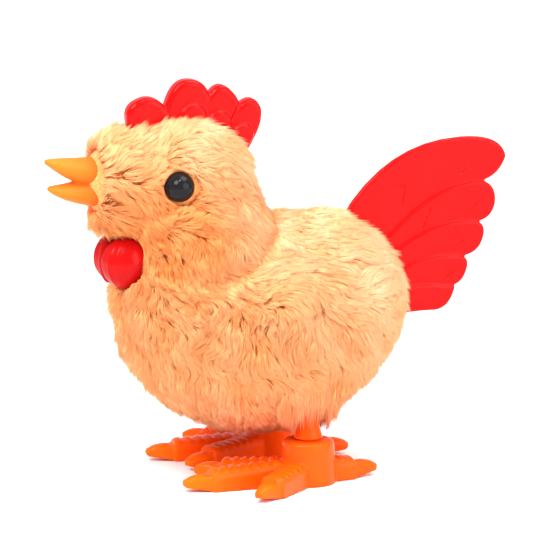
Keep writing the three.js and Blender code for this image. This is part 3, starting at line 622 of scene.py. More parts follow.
class Fittings:
    """The pieces that the fur grows round, in millimetres."""

    def __init__(self, trim):
        self.comb = trim.comb_thickness / MM / 2 + CLEARANCE
        self.tail = trim.tail_thickness / MM / 2 + CLEARANCE
        self.eye = np.array(EYE_CENTRE) / MM
        self.eye_radius = EYE_RADIUS / MM
        self.eye_base = EYE_HIGH.x / MM - EYE_STANDS
        x, y, z = WATTLE_AT
        self.wattle = [((side * x, y, z), WATTLE_PARTING) for side in (-1, 1)]
        self.axle = np.array(LEG_AXLE) / MM
        self.leg_out = FOOT_SPREAD / MM
        self.knob = np.array(KNOB_AXIS) / MM

    def from_eye(self, points):
        return np.hypot(points[:, 1] - self.eye[1], points[:, 2] - self.eye[2])

    def from_knob(self, points):
        return np.hypot(points[:, 1] - self.knob[1], points[:, 2] - self.knob[2])

    def bare(self, points):
        """Where no hair grows."""
        x, y, z = points.T
        wide = np.abs(x)
        front, rear, foot = COMB_PARTING
        comb = (wide < self.comb) & (y > front) & (y < rear) & (z > foot)
        front, foot, top = TAIL_PARTING
        tail = (wide < self.tail) & (y > front) & (z > foot) & (z < top)
        rear, height, half_wide, half_high = BILL_PARTING
        bill = (y < rear) & (np.hypot(x / half_wide, (z - height) / half_high) < 1)
        eyes = (wide > 9) & (self.from_eye(points) < self.eye_radius + 0.3)
        lobes = in_form(points, *self.wattle[0]) | in_form(points, *self.wattle[1])
        radius, narrow, top = LEG_PARTING
        from_leg = np.hypot(wide - self.leg_out, narrow * (y - self.axle[1]))
        leg = (from_leg < radius) & (z < top)
        inner, radius = KNOB_PARTING
        knob = (x < inner) & (self.from_knob(points) < radius)
        return comb | tail | bill | eyes | lobes | leg | knob

    def clear(self, points):
        """Moves points of hairs out of the pieces, to lie against their faces."""
        points = points.copy()
        x, y, z = points.T
        side = np.where(x < 0, -1.0, 1.0)
        front, rear, foot = COMB_FACE
        comb = (np.abs(x) < self.comb) & (y > front) & (y < rear) & (z > foot)
        front, foot = TAIL_FACE
        tail = (np.abs(x) < self.tail) & (y > front) & (z > foot)
        points[comb, 0] = (side * self.comb)[comb]
        points[tail, 0] = (side * self.tail)[tail]
        for centre, half in self.wattle:
            room = np.array(half) + 0.25
            inside = in_form(points, centre, room)
            out = unit((points[inside] - centre) / half)
            points[inside] = np.array(centre) + out * room
        # Hair stands round an eye, and does not lie over it.
        apart = points[:, 1:] - self.eye[1:]
        reach = np.linalg.norm(apart, axis=1)
        over = (reach < self.eye_radius + 0.35) & (np.abs(points[:, 0]) > self.eye_base)
        scale = (self.eye_radius + 0.35) / np.maximum(reach[over], 0.3)
        points[over, 1:] = self.eye[1:] + apart[over] * scale[:, None]
        # Hair stops short of the visible part of the beak.
        wide = np.hypot(points[:, 0], points[:, 2] - BILL_HEIGHT)
        end, inner, outer = BILL_FRONT
        front = end - BILL_SLOPE * (wide - inner).clip(0)
        bill = (wide < outer) & (points[:, 1] < front)
        points[bill, 1] = front[bill]
        rear, radius = BILL_ROOT
        inner = (wide < radius) & (points[:, 1] < rear)
        out = radius / np.maximum(wide[inner], 0.3)
        points[inner, 0] *= out
        points[inner, 2] = BILL_HEIGHT + (points[inner, 2] - BILL_HEIGHT) * out
        skirt, radius = KNOB_SKIRT
        knob = (points[:, 0] < skirt) & (self.from_knob(points) < radius)
        points[knob, 0] = skirt
        # Round the legs and over the heels, with room to rock.
        half_wide, half_long, top = LEG_ROOM
        across = (np.abs(points[:, 0]) - self.leg_out) / half_wide
        along = (points[:, 1] - self.axle[1]) / half_long
        reach = np.hypot(across, along)
        leg = (reach < 1) & (points[:, 2] < top)
        scale = 1 / np.maximum(reach[leg], 0.05)
        points[leg, 0] = side[leg] * (self.leg_out + across[leg] * scale * half_wide)
        points[leg, 1] = self.axle[1] + along[leg] * scale * half_long
        wide = np.abs(np.abs(points[:, 0]) - self.leg_out)
        heel = (wide < HEEL_SIZE[0]) & (np.abs(points[:, 1] - self.axle[1]) < HEEL_SIZE[1])
        points[:, 2] = np.maximum(points[:, 2], np.where(heel, *LOWEST_HAIR))
        return points


# How the hair stands, in degrees and millimetres.
LEAN, BRUSHED_LEAN, TUFT_LEAN = 22, 20, 10  # of all hair, and what brushing and tufts add to it
LONGEST_RUN = 6.5
BELLY_DROP, LEG_DROP = 1.5, 8
TUFT_HEIGHTS = (0.75, 1.25)  # least and most, as shares of the pile
HAIR_HEIGHTS = (0.6, 1.12)
GATHERED = (0.1, 0.75)  # how far hairs lean in to their tuft
TUFT_SCATTER, TIP_SCATTER, MIDDLE_SCATTER = 0.42, 0.2, 0.1
ROOT_DEPTH = 0.2


def grow(coat, trim, surface):
    """Root, middle and tip of each hair in millimetres, with its tone, which holds a painted shade in the hollows
    of the coat.
    """
    draws = np.random.default_rng(coat.seed)
    fittings = Fittings(trim)
    pile = coat.pile / MM
    area = sum(face.area for face in surface.data.polygons) / MM**2
    roots, normals = scattered(surface, coat.hairs, draws)
    keep = ~fittings.bare(roots)
    roots, normals = roots[keep], normals[keep]

    def tips_of(points, normal, share):
        """Where hair of the set pile ends, leaning the way that it is brushed."""
        lie = lie_of_hair(points, normal, np.random.default_rng(coat.seed + 1))
        strength = np.linalg.norm(lie, axis=1).clip(0, 1)
        wild = 0.5 + 0.5 * waves(points, 9, np.random.default_rng(coat.seed + 2)).clip(-1, 1)
        lean = np.radians(LEAN + BRUSHED_LEAN * strength + TUFT_LEAN * wild)
        near_eye = 1 - ramp(fittings.from_eye(points), 4, 8)
        short = 0.3 * near_eye * (np.abs(points[:, 0]) > 8)
        height = pile * (1 - short) * share
        run = np.minimum(height * np.tan(lean), LONGEST_RUN)
        # Hair hangs lower under the belly, and lowest round the legs.
        leg = np.hypot(np.abs(points[:, 0]) - fittings.leg_out, points[:, 1] - fittings.axle[1])
        drop = BELLY_DROP * (1 - ramp(points[:, 2], 14, 24))
        drop += LEG_DROP * (1 - ramp(points[:, 2], 22, 31)) * (1 - ramp(leg, 3.5, 10))
        down = np.stack([0 * drop, 0 * drop, -drop * share], 1)
        return points + normal * height[:, None] + unit(lie) * run[:, None] + down

    # The coat lies in soft hollows, where the hair is shorter and is darkened as a painted shade.
    hollow = 0.5 + 0.5 * waves(roots, 8, np.random.default_rng(coat.seed + 3)).clip(-1, 1)
    # Hairs lean in to the tip of their tuft. Each tuft stands its own way.
    tufts = int(area / (coat.tuft / MM) ** 2)
    tuft_at, tuft_normal = scattered(surface, tufts, draws)
    tuft_tip = tips_of(tuft_at, tuft_normal, draws.normal(1.0, 0.11, tufts).clip(*TUFT_HEIGHTS))
    tuft_tip += draws.normal(scale=TUFT_SCATTER, size=tuft_tip.shape)
    tree = kdtree.KDTree(tufts)
    for i, place in enumerate(tuft_at):
        tree.insert(place, i)
    tree.balance()
    tuft = np.array([tree.find(place)[1] for place in roots])
    height = draws.uniform(*HAIR_HEIGHTS, len(roots)) * (1.08 - 0.2 * hollow)
    own = tips_of(roots, normals, height)
    share = draws.uniform(*GATHERED, len(roots))[:, None]
    shared_tip = tuft_tip[tuft] + 0.15 * (roots - tuft_at[tuft])
    tips = own + (shared_tip - own) * share
    tips += draws.normal(scale=TIP_SCATTER, size=tips.shape)
    reach = np.linalg.norm(tips - roots, axis=1, keepdims=True)
    middles = roots + normals * np.minimum(reach, 7) * 0.3 + (tips - roots) * 0.34
    middles += draws.normal(scale=MIDDLE_SCATTER, size=middles.shape)
    tips, middles = fittings.clear(tips), fittings.clear(middles)
    # The tone holds random changes for each hair and each tuft, and a painted shade that darkens the hollows.
    tone = 0.35 * draws.random(len(roots)) + 0.2 * draws.random(tufts)[tuft] + 0.45 * hollow
    return roots - normals * ROOT_DEPTH, middles, tips, tone


HAIR_POINTS, HAIR_FACES = 5, 6
CELL_EDGE, CELL_STEP = 0.06, 0.293  # of the three sides of a hair, as shares of its cell


def hair_mesh(name, roots, middles, tips, tone, width):
    """Closed three-sided hairs, pointed at both ends, each with a cell of its own on the map."""
    count = len(roots)
    heading = unit(tips - roots)
    helper = np.where(np.abs(heading[:, :1]) < 0.8, [[1.0, 0, 0]], [[0, 1.0, 0]])
    first = unit(np.cross(heading, helper))
    second = np.cross(heading, first)
    ring = []
    for side in range(3):
        angle = side * 2 * math.pi / 3
        ring.append(middles + width / 2 * (first * math.cos(angle) + second * math.sin(angle)))
    places = np.stack([roots, *ring, tips], 1).reshape(-1, 3) * MM
    faces = []
    cell = []
    for i in range(3):
        j = (i + 1) % 3
        faces += [(0, 1 + j, 1 + i), (1 + i, 1 + j, 4)]
        left, right = CELL_EDGE + i * CELL_STEP, CELL_EDGE + (i + 1) * CELL_STEP
        cell += [((left + right) / 2, 0.05), (right, 0.5), (left, 0.5)]
        cell += [(left, 0.5), (right, 0.5), ((left + right) / 2, 0.95)]
    mesh = bpy.data.meshes.new(name)
    mesh.vertices.add(count * HAIR_POINTS)
    mesh.vertices.foreach_set("co", places.ravel())
    mesh.loops.add(count * HAIR_FACES * 3)
    corners = np.arange(count)[:, None] * HAIR_POINTS + np.concatenate(faces)
    mesh.loops.foreach_set("vertex_index", corners.ravel())
    mesh.polygons.add(count * HAIR_FACES)
    mesh.polygons.foreach_set("loop_start", np.arange(count * HAIR_FACES) * 3)
    mesh.polygons.foreach_set("use_smooth", np.ones(count * HAIR_FACES, bool))
    cells = math.ceil(math.sqrt(count))
    corner = np.stack([np.arange(count) % cells, np.arange(count) // cells], 1)
    layout = (corner[:, None, :] + np.array(cell)) / cells
    mesh.uv_layers.new(name="OFBake").uv.foreach_set("vector", layout.astype(np.float32).ravel())
    along = np.tile([0, 0.5, 0.5, 0.5, 1], count).astype(np.float32)
    mesh.attributes.new("along", "FLOAT", "POINT").data.foreach_set("value", along)
    # The tone carries random changes and the painted shade of the hollows.
    tones = np.repeat(tone, HAIR_POINTS).astype(np.float32)
    mesh.attributes.new("tone", "FLOAT", "POINT").data.foreach_set("value", tones)
    mesh.update(calc_edges=True)
    mesh.validate()
    piece = bpy.data.objects.new(name, mesh)
    bpy.context.collection.objects.link(piece)
    return piece


COVERED = 0.72  # how deep the fabric lies in the fur, as a share of the pile


class ROOSTER_OT_fabric(bpy.types.Operator):
    """Make the fabric that the fur grows from"""

    bl_idname = "rooster.fabric"
    bl_label = "Fabric"

    def execute(self, context):
        coat = context.scene.rooster_fur
        depth = COVERED * coat.pile + coat.fuzz
        skin = fabric_surface(depth)
        combine(skin, fabric_surface(depth + coat.fabric), "DIFFERENCE")
        # Slots for the legs, which reach in towards the motor, and a hole for the knob's stem.
        reach = Vector((3.6, 8.6, 0)) * MM
        for side in (-1, 1):
            middle = Vector((side * FOOT_SPREAD - side * 1.2 * MM, LEG_AXLE.y, 0))
            opening = block(middle - reach, middle + reach + Vector((0, 0, LEG_AXLE.z + 3 * MM)))
            combine(skin, opening, "DIFFERENCE")
        stem = turned([(-40, 3), (-12, 3)], (0, KNOB_AXIS.y, KNOB_AXIS.z), "X")
        combine(skin, stem, "DIFFERENCE")
        take(skin)
        bpy.ops.object.shade_smooth()
        covers = ("plush_cover_left", "plush_cover_right")
        finish_piece(skin, "fur_fabric", "root", "plush", backing_fabric(coat), *covers)
        return {"FINISHED"}


class ROOSTER_OT_fur(bpy.types.Operator):
    """Grow the fur, brushed back from the beak and down the flanks"""

    bl_idname = "rooster.fur"
    bl_label = "Fur"

    def execute(self, context):
        coat = context.scene.rooster_fur
        surface = fabric_surface(coat.pile + coat.fuzz)
        hairs = grow(coat, context.scene.rooster_trim, surface)
        bpy.data.objects.remove(surface)
        material = fur_finish(coat)
        order = np.argsort(hairs[0][:, 2], kind="stable")
        for i, chosen in enumerate(np.array_split(order, math.ceil(len(order) / HAIRS_IN_PIECE))):
            name = f"fur_{i + 1}"
            piece = hair_mesh(name, *[part[chosen] for part in hairs], coat.hair_width / MM)
            finish_piece(piece, name, "root", "plush", material)
        return {"FINISHED"}


# ---------------- comb and tail

COMB_START = (-33.6, 78.5)
COMB_ARCS = [
    ((-37.6, 85.9), (-32.6, 87.8)),
    ((-29, 89.5), (-26.3, 86.1)),
    ((-24.6, 92.1), (-20.8, 92)),
    ((-17, 91.9), (-16, 88.6)),
    ((-13.4, 92.1), (-10.6, 88.9)),
    ((-9.2, 87.5), (-8.8, 85.9)),
    ((-5.2, 88.7), (-3.7, 84.5)),
    ((-3, 80.9), (-7.2, 74.7)),
    ((-8.8, 72), (-10.4, 69.5)),
    ((-21, 77.5), (-33.6, 72.5)),
    ((-33.6, 75.5), (-33.6, 78.5)),
]
# Small raised lobes along the foot of the comb: centre and radius.
COMB_BUDS = [((-20, 83.3), 3.2), ((-13.9, 81.7), 2.9), ((-8.3, 78.9), 2.5)]
# Tabs that go down into the shell: their ends along Y and Z.
COMB_TABS = [((-31, -27), (73.5, 79.5)), ((-19.5, -15.5), (73.5, 79.5))]
TAIL_TABS = [((16.5, 24), (49.5, 53)), ((21.5, 29), (39, 43))]

# Tail feathers from the top one down, each as its start and the arcs along its upper edge, round
# its tip and back under.
FEATHERS = [
    ((13, 53.5), [
        ((24, 75), (44, 75.5)), ((54, 75.8), (55, 70.5)), ((53.5, 66), (49.4, 65)),
        ((38, 63.5), (22, 45.5)), ((17, 49), (13, 53.5)),
    ]),
    ((20, 44.5), [
        ((34, 65.5), (49, 65.1)), ((52.8, 64.3), (52.4, 59.8)), ((51.8, 56.5), (48.9, 55.7)),
        ((38, 54.5), (22, 40.5)), ((21, 42), (20, 44.5)),
    ]),
    ((20, 42.5), [
        ((34, 57.5), (47, 55.9)), ((50.3, 55.5), (49.5, 52.1)), ((48.6, 48.4), (45, 47.8)),
        ((36, 47), (22, 37.5)), ((21, 40), (20, 42.5)),
    ]),
    ((20, 40.5), [
        ((33, 49.5), (43, 48)), ((46.2, 47.8), (45.5, 45.1)), ((44.6, 41.5), (42.1, 41.1)),
        ((35, 40.5), (22, 35.5)), ((21, 38), (20, 40.5)),
    ]),
    ((20, 38.5), [
        ((32, 43), (40, 41.3)), ((43.2, 41.4), (42.3, 40.1)), ((41, 35.7), (37.6, 35.5)),
        ((33, 35.7), (22, 34.5)), ((21, 36.5), (20, 38.5)),
    ]),
]
# Shallow chevrons on the feathers: where each points, which way in degrees, the length of its
# arms, and the feather's place in the fan.
CHEVRONS = [
    ((30.5, 64.5), 40, 4.5, 0),
    ((46.5, 69.3), 0, 3.6, 0),
    ((36.8, 59.5), 25, 5.2, 1),
    ((48.2, 60.4), 0, 4.4, 1),
    ((44.8, 51.8), 0, 3.6, 2),
    ((41.5, 44.3), 0, 2.6, 3),
]


def tabs(ends, half):
    """Blocks across the middle plane that fasten a plate in the shell."""
    return [
        block(Vector((-half, y0, z0)) * MM, Vector((half, y1, z1)) * MM)
        for (y0, y1), (z0, z1) in ends
    ]


def cut_line(piece, low, high, place, degrees):
    """Cuts a fine straight groove: a bar in millimetres, turned about X and put at its place."""
    bar = block(Vector(low) * MM, Vector(high) * MM)
    bar.rotation_euler.x = math.radians(degrees)
    bar.location = place
    combine(piece, settle(bar), "DIFFERENCE")


class ROOSTER_OT_comb(bpy.types.Operator):
    """Make the comb: a thick plate with four lobes and three small buds along its foot"""

    bl_idname = "rooster.comb"
    bl_label = "Comb"

    def execute(self, context):
        trim = context.scene.rooster_trim
        half = trim.comb_thickness / 2
        parts = [plate(COMB_START, COMB_ARCS, -half, half, rim=trim.rim)]
        face = half / MM
        for (y, z), radius in COMB_BUDS:
            low, high = (face + 0.35, radius), (face + 0.75, radius * 0.82)
            profile = [(-high[0], high[1]), (-low[0], low[1]), low, high]
            parts.append(turned(profile, Vector((0, y, z)) * MM, "X"))
        comb = moulded(joined(parts + tabs(COMB_TABS, 1.1)), 0.22 * MM, 3)
        for side in (-1, 1):
            place = (side * half, -10.4 * MM, 84.1 * MM)
            cut_line(comb, (-0.3, -0.14, -2.6), (0.3, 0.14, 2.6), place, -26)
        red = moulded_plastic("comb_gloss_red", trim.red, 0.13)
        finish_piece(comb, "comb_moulding", "root", "comb_red", red.material, "comb")
        return {"FINISHED"}


class ROOSTER_OT_tail(bpy.types.Operator):
    """Make the tail fan: five feathers that overlap, each a step proud of the one above"""

    bl_idname = "rooster.tail"
    bl_label = "Tail fan"

    def execute(self, context):
        trim = context.scene.rooster_trim
        last = len(FEATHERS) - 1
        halves = [
            trim.tail_thickness / 2 - (last - i) * trim.feather_step / 2 for i in range(last + 1)
        ]
        parts = [
            plate(start, arcs, -half, half, rim=0.6 * MM, curve=9)
            for (start, arcs), half in zip(FEATHERS, halves)
        ]
        fan = moulded(joined(parts + tabs(TAIL_TABS, 0.7)), 0.25 * MM, 2)
        for (y, z), angle, length, feather in CHEVRONS:
            for arm, side in ((-1, -1), (-1, 1), (1, -1), (1, 1)):
                place = (side * halves[feather], y * MM, z * MM)
                cut_line(fan, (-0.14, -length, -0.13), (0.14, 0, 0.13), place, angle + arm * 42)
        red = moulded_plastic("tail_gloss_red", trim.red, 0.14)
        finish_piece(fan, "tail_moulding", "root", "comb_red", red.material, "tail_fan")
        return {"FINISHED"}


# ---------------- beak, wattle and eyes


class ROOSTER_OT_beak(bpy.types.Operator):
    """Make the open beak: two rounded cones that meet at the corner of the mouth"""

    bl_idname = "rooster.beak"
    bl_label = "Beak"

    def execute(self, context):
        def bill(sections):
            """One half of the beak, from the Y, height, half width and half height of sections."""
            rings = [(Vector((0, y, z)) * MM, (wide * MM, high * MM)) for y, z, wide, high in sections]
            return loft(rings, "Y", 48)

        upper = bill([
            (-38, 71.4, 5.0, 3.4), (-41, 71.7, 5.3, 3.4), (-44, 71.9, 5.0, 3.2),
            (-47, 72.3, 4.3, 2.8), (-50, 73.1, 3.2, 2.1), (-52.3, 73.9, 2.0, 1.3),
            (-53.6, 74.4, 1.1, 0.75), (-54.2, 74.5, 0.5, 0.4),
        ])
        lower = bill([
            (-38, 67.4, 4.8, 3.5), (-41, 67.3, 5.0, 3.5), (-44, 67.1, 4.7, 3.1),
            (-47, 67.2, 4.0, 2.5), (-49.5, 67.4, 3.1, 1.9), (-51.6, 67.8, 2.1, 1.3),
            (-53.0, 68.2, 1.1, 0.75), (-53.6, 68.3, 0.5, 0.4),
        ])
        plug = turned([(-33, 2.6), (-39.5, 2.6)], (0, 0, BILL_HEIGHT * MM), "Y")
        beak = moulded(joined([upper, lower, plug]), 0.22 * MM, 10)
        trim = context.scene.rooster_trim
        satin = moulded_plastic("beak_satin_orange", trim.bill, 0.42, flow=700)
        forward = satin.add("SeparateXYZ", {"Vector": satin.place}).outputs["Y"]
        tip = satin.spread(forward, -0.040, -0.054, 0.0, 0.6)
        satin.set(satin.surface, {
            "Base Color": satin.mix(tip, (*trim.bill, 1), (1.0, 0.2, 0.018, 1)),
            "Subsurface Weight": 0.15, "Subsurface Radius": (1.0, 0.5, 0.1),
            "Subsurface Scale": 0.001,
        })
        finish_piece(beak, "beak_moulding", "root", "beak_orange", satin.material, "beak")
        return {"FINISHED"}


class ROOSTER_OT_wattle(bpy.types.Operator):
    """Make the wattle: two ribbed lobes under the beak"""

    bl_idname = "rooster.wattle"
    bl_label = "Wattle"

    def execute(self, context):
        lobes = []
        ribs = 48
        for side in (-1, 1):
            centre = Vector((side * WATTLE_AT[0], *WATTLE_AT[1:])) * MM
            lobe = ball(centre, Vector((4.9, 6.0, 6.1)) * MM, ribs, 28)

            def on_rib(vertex):
                turn = math.atan2(vertex.co.y - centre.y, vertex.co.x - centre.x) / (2 * math.pi)
                return round(turn * ribs) % 3 == 0 and vertex.co.y < centre.y

            open_on(lobe, "vertices", on_rib)
            bpy.ops.transform.resize(value=(1.035, 1.035, 1), center_override=centre)
            close()
            lobes.append(lobe)
        peg = turned([(-27.5, 1.5), (-36, 1.5)], (0, 0, WATTLE_AT[2] * MM), "Y")
        ridge = ball(Vector((0, -39.3, 51.4)) * MM, Vector((1.0, 2.4, 5.6)) * MM)
        wattle = moulded(joined([*lobes, ridge, peg]), 0.2 * MM, 3)
        trim = context.scene.rooster_trim
        red = moulded_plastic("wattle_gloss_red", trim.dark_red, 0.2)
        finish_piece(wattle, "wattle_moulding", "root", "wattle_red", red.material, "wattle")
        return {"FINISHED"}


class ROOSTER_OT_eyes(bpy.types.Operator):
    """Make the two bead eyes, each a polished dome with a thin flange and a peg"""

    bl_idname = "rooster.eyes"
    bl_label = "Eyes"

    def execute(self, context):
        finish = Finish("polished_black", (0.006, 0.006, 0.007), 0.05, **{"Specular IOR Level": 0.12})
        gloss = finish.patches(500, 0.03, 0.09)
        shades = finish.mix(finish.noise(300), (0.004, 0.004, 0.005, 1), (0.012, 0.011, 0.012, 1))
        finish.set(finish.surface, {"Roughness": gloss, "Base Color": shades})
        radius = EYE_RADIUS / MM
        dome = 3.4
        profile = [
            ((EYE_LOW.x - EYE_HIGH.x) / MM, 1.0), (-EYE_STANDS, 1.0), (-4.5, radius * 0.97),
            (-3.9, radius), (-dome, radius * 0.985),
        ]
        for step in range(1, 12):
            angle = step / 12 * math.pi / 2
            profile.append((dome * (math.sin(angle) - 1), radius * 0.96 * math.cos(angle)))
        profile.append((0, radius * 0.03))
        bead = turned(profile, (EYE_HIGH.x, EYE_CENTRE.y, EYE_CENTRE.z), "X", 56)
        take(bead)
        bpy.ops.object.shade_smooth_by_angle(angle=math.radians(50))
        for piece, side, _ in both_sides(bead):
            finish_piece(piece, f"bead_eye_{side}", "root", "eye_black", finish.material, f"eye_{side}")
        return {"FINISHED"}


# ---------------- feet, legs and knob

# Angle of each toe from straight ahead towards the outside, its length and its number of scales.
TOES = [(-25.5, 26.5, 6), (4, 30.2, 7), (46.5, 24.4, 5), (191.6, 17.5, 3)]
PAD_TOP = (5.6, 4.5)  # by the heel and by the claw
PAD_START, FIRST_SCALE = 3, 7  # along the toe
CLAW_TOP = 3.9
SHANK = 7  # how deep a leg goes into its heel
WING_HEIGHT = 6.7  # of the winding knob, over its skirt
KNOB_RIBS = 24


def toe(angle, length, scales, trim):
    """One toe with scales across its top, and a claw that steps down to a rounded wedge."""
    half = trim.toe_width / 2
    pad_end = length * MM - trim.claw_length
    pad = block((-half, PAD_START * MM, 0), (half, pad_end, PAD_TOP[0] * MM))
    open_on(pad, "vertices", lambda v: v.co.y > pad_end - MM and v.co.z > MM)
    bpy.ops.transform.translate(value=(0, 0, (PAD_TOP[1] - PAD_TOP[0]) * MM))
    close()
    corners = pad.data.vertices

    def upper_and_lengthwise(edge):
        first, second = (corners[v].co for v in edge.vertices)
        return first.x * second.x > 0 and min(first.z, second.z) > MM

    round_edges(pad, 1.5 * MM, upper_and_lengthwise)
    parts = [pad]
    pitch = (pad_end / MM - FIRST_SCALE) / scales
    for i in range(scales):
        at = FIRST_SCALE + pitch * (i + 0.5)
        share = (at - PAD_START) / (pad_end / MM - PAD_START)
        top = PAD_TOP[0] + (PAD_TOP[1] - PAD_TOP[0]) * share
        size = Vector((half / MM - 0.15, pitch * 0.5, 1.0)) * MM
        parts.append(ball(Vector((0, at, top - 0.45)) * MM, size, 24, 12))
    claw_half = half - 0.35 * MM
    claw = block((-claw_half, pad_end - MM, 0), (claw_half, length * MM, CLAW_TOP * MM))
    open_on(claw, "vertices", lambda v: v.co.y > pad_end + MM)
    bpy.ops.transform.resize(value=(0.45, 1, 0.42), center_override=(0, length * MM, 2.1 * MM))
    close()
    ends = claw.data.vertices
    round_edges(claw, 0.7 * MM, lambda e: min(ends[v].co.z for v in e.vertices) > 0.5 * MM, 3)
    nail = ball((0, 0, 0), Vector((1.5, 2.5, 0.55)) * MM, 24, 12)
    nail.rotation_euler.x = -math.atan2(1.04 * MM, trim.claw_length)
    nail.location = (0, pad_end + 0.5 * trim.claw_length, 3.3 * MM)
    whole = joined([*parts, claw, settle(nail)])
    whole.rotation_euler.z = math.pi + math.radians(angle)
    return settle(whole)


class ROOSTER_OT_feet(bpy.types.Operator):
    """Make the two feet: a heel cup and four scaled toes with claws, moulded as one"""

    bl_idname = "rooster.feet"
    bl_label = "Feet"

    def execute(self, context):
        trim = context.scene.rooster_trim
        high = HEEL_HEIGHT / MM
        profile = [
            (0, 6.1), (0.4, 6.3), (1.4, 6.3), (high - 1.2, 5.95), (high - 0.5, 5.8), (high, 5.3)
        ]
        heel = turned(profile, (0, 0, 0), "Z", 64)
        foot = moulded(joined([heel, *[toe(*sizes, trim) for sizes in TOES]]), 0.3 * MM, 3)
        socket = turned([(high - SHANK, 2.6), (high + 1, 2.6)], (0, 0, 0), "Z", 32)
        combine(foot, socket, "DIFFERENCE")
        foot.location = (FOOT_SPREAD, LEG_AXLE.y, 0)
        settle(foot)
        bpy.ops.object.shade_smooth_by_angle(angle=math.radians(50))
        for piece, side, sign in both_sides(foot):
            heel_at = (sign * FOOT_SPREAD, LEG_AXLE.y, 0.004)
            material = foot_plastic(f"foot_orange_{side}", trim, heel_at)
            finish_piece(piece, f"foot_moulding_{side}", "legs", "feet_orange", material, f"foot_{side}")
        return {"FINISHED"}


class ROOSTER_OT_legs(bpy.types.Operator):
    """Make the two legs: an ankle cone that stands on the heel, a shin, and an eye for the axle"""

    bl_idname = "rooster.legs"
    bl_label = "Legs"

    def execute(self, context):
        trim = context.scene.rooster_trim
        rim = HEEL_HEIGHT / MM + 0.3
        top = LEG_AXLE.z / MM - 3.6
        profile = [
            (rim - SHANK, 2.0), (rim - 6.6, 2.3), (rim, 2.3), (rim + 0.02, 3.1), (rim + 0.25, 3.3),
            (rim + 1, 3.1), (rim + 2.6, 2.6), (rim + 4.5, 2.3), (top - 1.4, 2.3), (top, 1.7),
        ]
        y = LEG_AXLE.y
        leg = turned(profile, (FOOT_SPREAD, y, 0), "Z", 48)
        # The eye is flat, from its inner to its outer face along the axle.
        inner, outer = 10.1, 12.7
        eye = turned([(inner, 4.2), (outer, 4.2)], (0, y, LEG_AXLE.z), "X", 48)
        low = LEG_AXLE.z - 8.5 * MM
        lug = block((inner * MM, y - 2.3 * MM, low), (outer * MM, y + 2.3 * MM, LEG_AXLE.z))
        web = block((inner * MM, y - 2.1 * MM, low), (FOOT_SPREAD, y + 2.1 * MM, low + 3.5 * MM))
        for part in (eye, lug, web):
            combine(leg, part, "UNION")
        bore = turned([(inner - 1, 1.4), (outer + 3, 1.4)], (0, y, LEG_AXLE.z), "X", 32)
        combine(leg, bore, "DIFFERENCE")
        shade(make_outward(leg, SAME_PLACE), 35)
        for piece, side, sign in both_sides(leg):
            material = foot_plastic(f"leg_orange_{side}", trim, (sign * FOOT_SPREAD, y, 0.012))
            finish_piece(piece, f"leg_moulding_{side}", "legs", "feet_orange", material, f"leg_{side}")
        return {"FINISHED"}


class ROOSTER_OT_knob(bpy.types.Operator):
    """Make the winding knob: a ribbed skirt, a stem and a flat wing to hold"""

    bl_idname = "rooster.knob"
    bl_label = "Winding knob"

    def execute(self, context):
        trim = context.scene.rooster_trim
        y, z = KNOB_AXIS.y, KNOB_AXIS.z
        face = KNOB_LOW.x + WING_HEIGHT * MM
        profile = [
            ((KNOB_HIGH.x - face) / MM, 2.6), (-0.3, 2.6), (-0.35, 5.1), (-0.8, 5.5), (-1.9, 5.5),
            (-2.4, 5.2), (-2.6, 4.6),
        ]
        knob = turned(profile, (face, y, z), "X", 72)
        for i in range(KNOB_RIBS):
            angle = i * 2 * math.pi / KNOB_RIBS
            notch = ball((0, 0, 0), Vector((1.6, 0.32, 0.32)) * MM, 12, 8)
            across = Vector((0, math.cos(angle), math.sin(angle))) * 5.6 * MM
            notch.location = Vector((face - 1.35 * MM, y, z)) + across
            combine(knob, settle(notch), "DIFFERENCE")
        reach = Vector((0, 4.7, 1.2)) * MM
        wing = block(Vector((KNOB_LOW.x, y, z)) - reach, Vector((face - 2 * MM, y, z)) + reach)
        corners = wing.data.vertices

        def outer_and_short(edge):
            first, second = (corners[v].co for v in edge.vertices)
            return max(first.x, second.x) < KNOB_LOW.x + SAME_PLACE and abs(first.z - second.z) > MM

        round_edges(wing, 2.6 * MM, outer_and_short, 8)
        combine(knob, wing, "UNION")
        bore = turned([(face / MM - 1.9, 1.65), (-8, 1.65)], (0, y, z), "X", 32)
        combine(knob, bore, "DIFFERENCE")
        shade(make_outward(knob, SAME_PLACE), 35)
        material = foot_plastic("knob_orange", trim, (KNOB_HIGH.x, y, z))
        finish_piece(knob, "winding_knob_moulding", "winding", "feet_orange", material, "winding_knob")
        return {"FINISHED"}


# ---------------- carried-over frame pieces


class ROOSTER_OT_motor(bpy.types.Operator):
    """Give the motor, the shell and the axles their finishes"""

    bl_idname = "rooster.motor"
    bl_label = "Motor and shell finishes"

    def execute(self, context):
        finishes = {
            "case_white": moulded_plastic("shell_white", (0.8, 0.78, 0.72), 0.45).material,
            "wheel_white": moulded_plastic("wheel_acetal", (0.88, 0.86, 0.8), 0.35, flow=1400).material,
            "steel": brushed_steel(),
        }
        for subpart in frame["record"]["subparts"]:
            material = finishes.get(subpart["material_slot"])
            if material:
                node = frame["nodes"][subpart["node"]]
                node.data.materials.clear()
                node.data.materials.append(material)
        return {"FINISHED"}


# ---------------- stage


VIEW_HEIGHT = 45.4 * MM  # the height that the camera points at
LENS = 429
SKY_LIGHT = 0.8
FLOOR_SIZE = 3
# The soft lights: place, size and power in watts.
LIGHTS = {
    "key_light": ((0.45, -0.65, 0.85), 0.6, 13.0),
    "top_light": ((0.1, 0.35, 1.0), 0.7, 9.0),
    "fill_light": ((0.7, 0.5, 0.3), 0.8, 6.0),
    "glint_light": ((0.4, -0.15, 1.0), 0.09, 4.0),
}


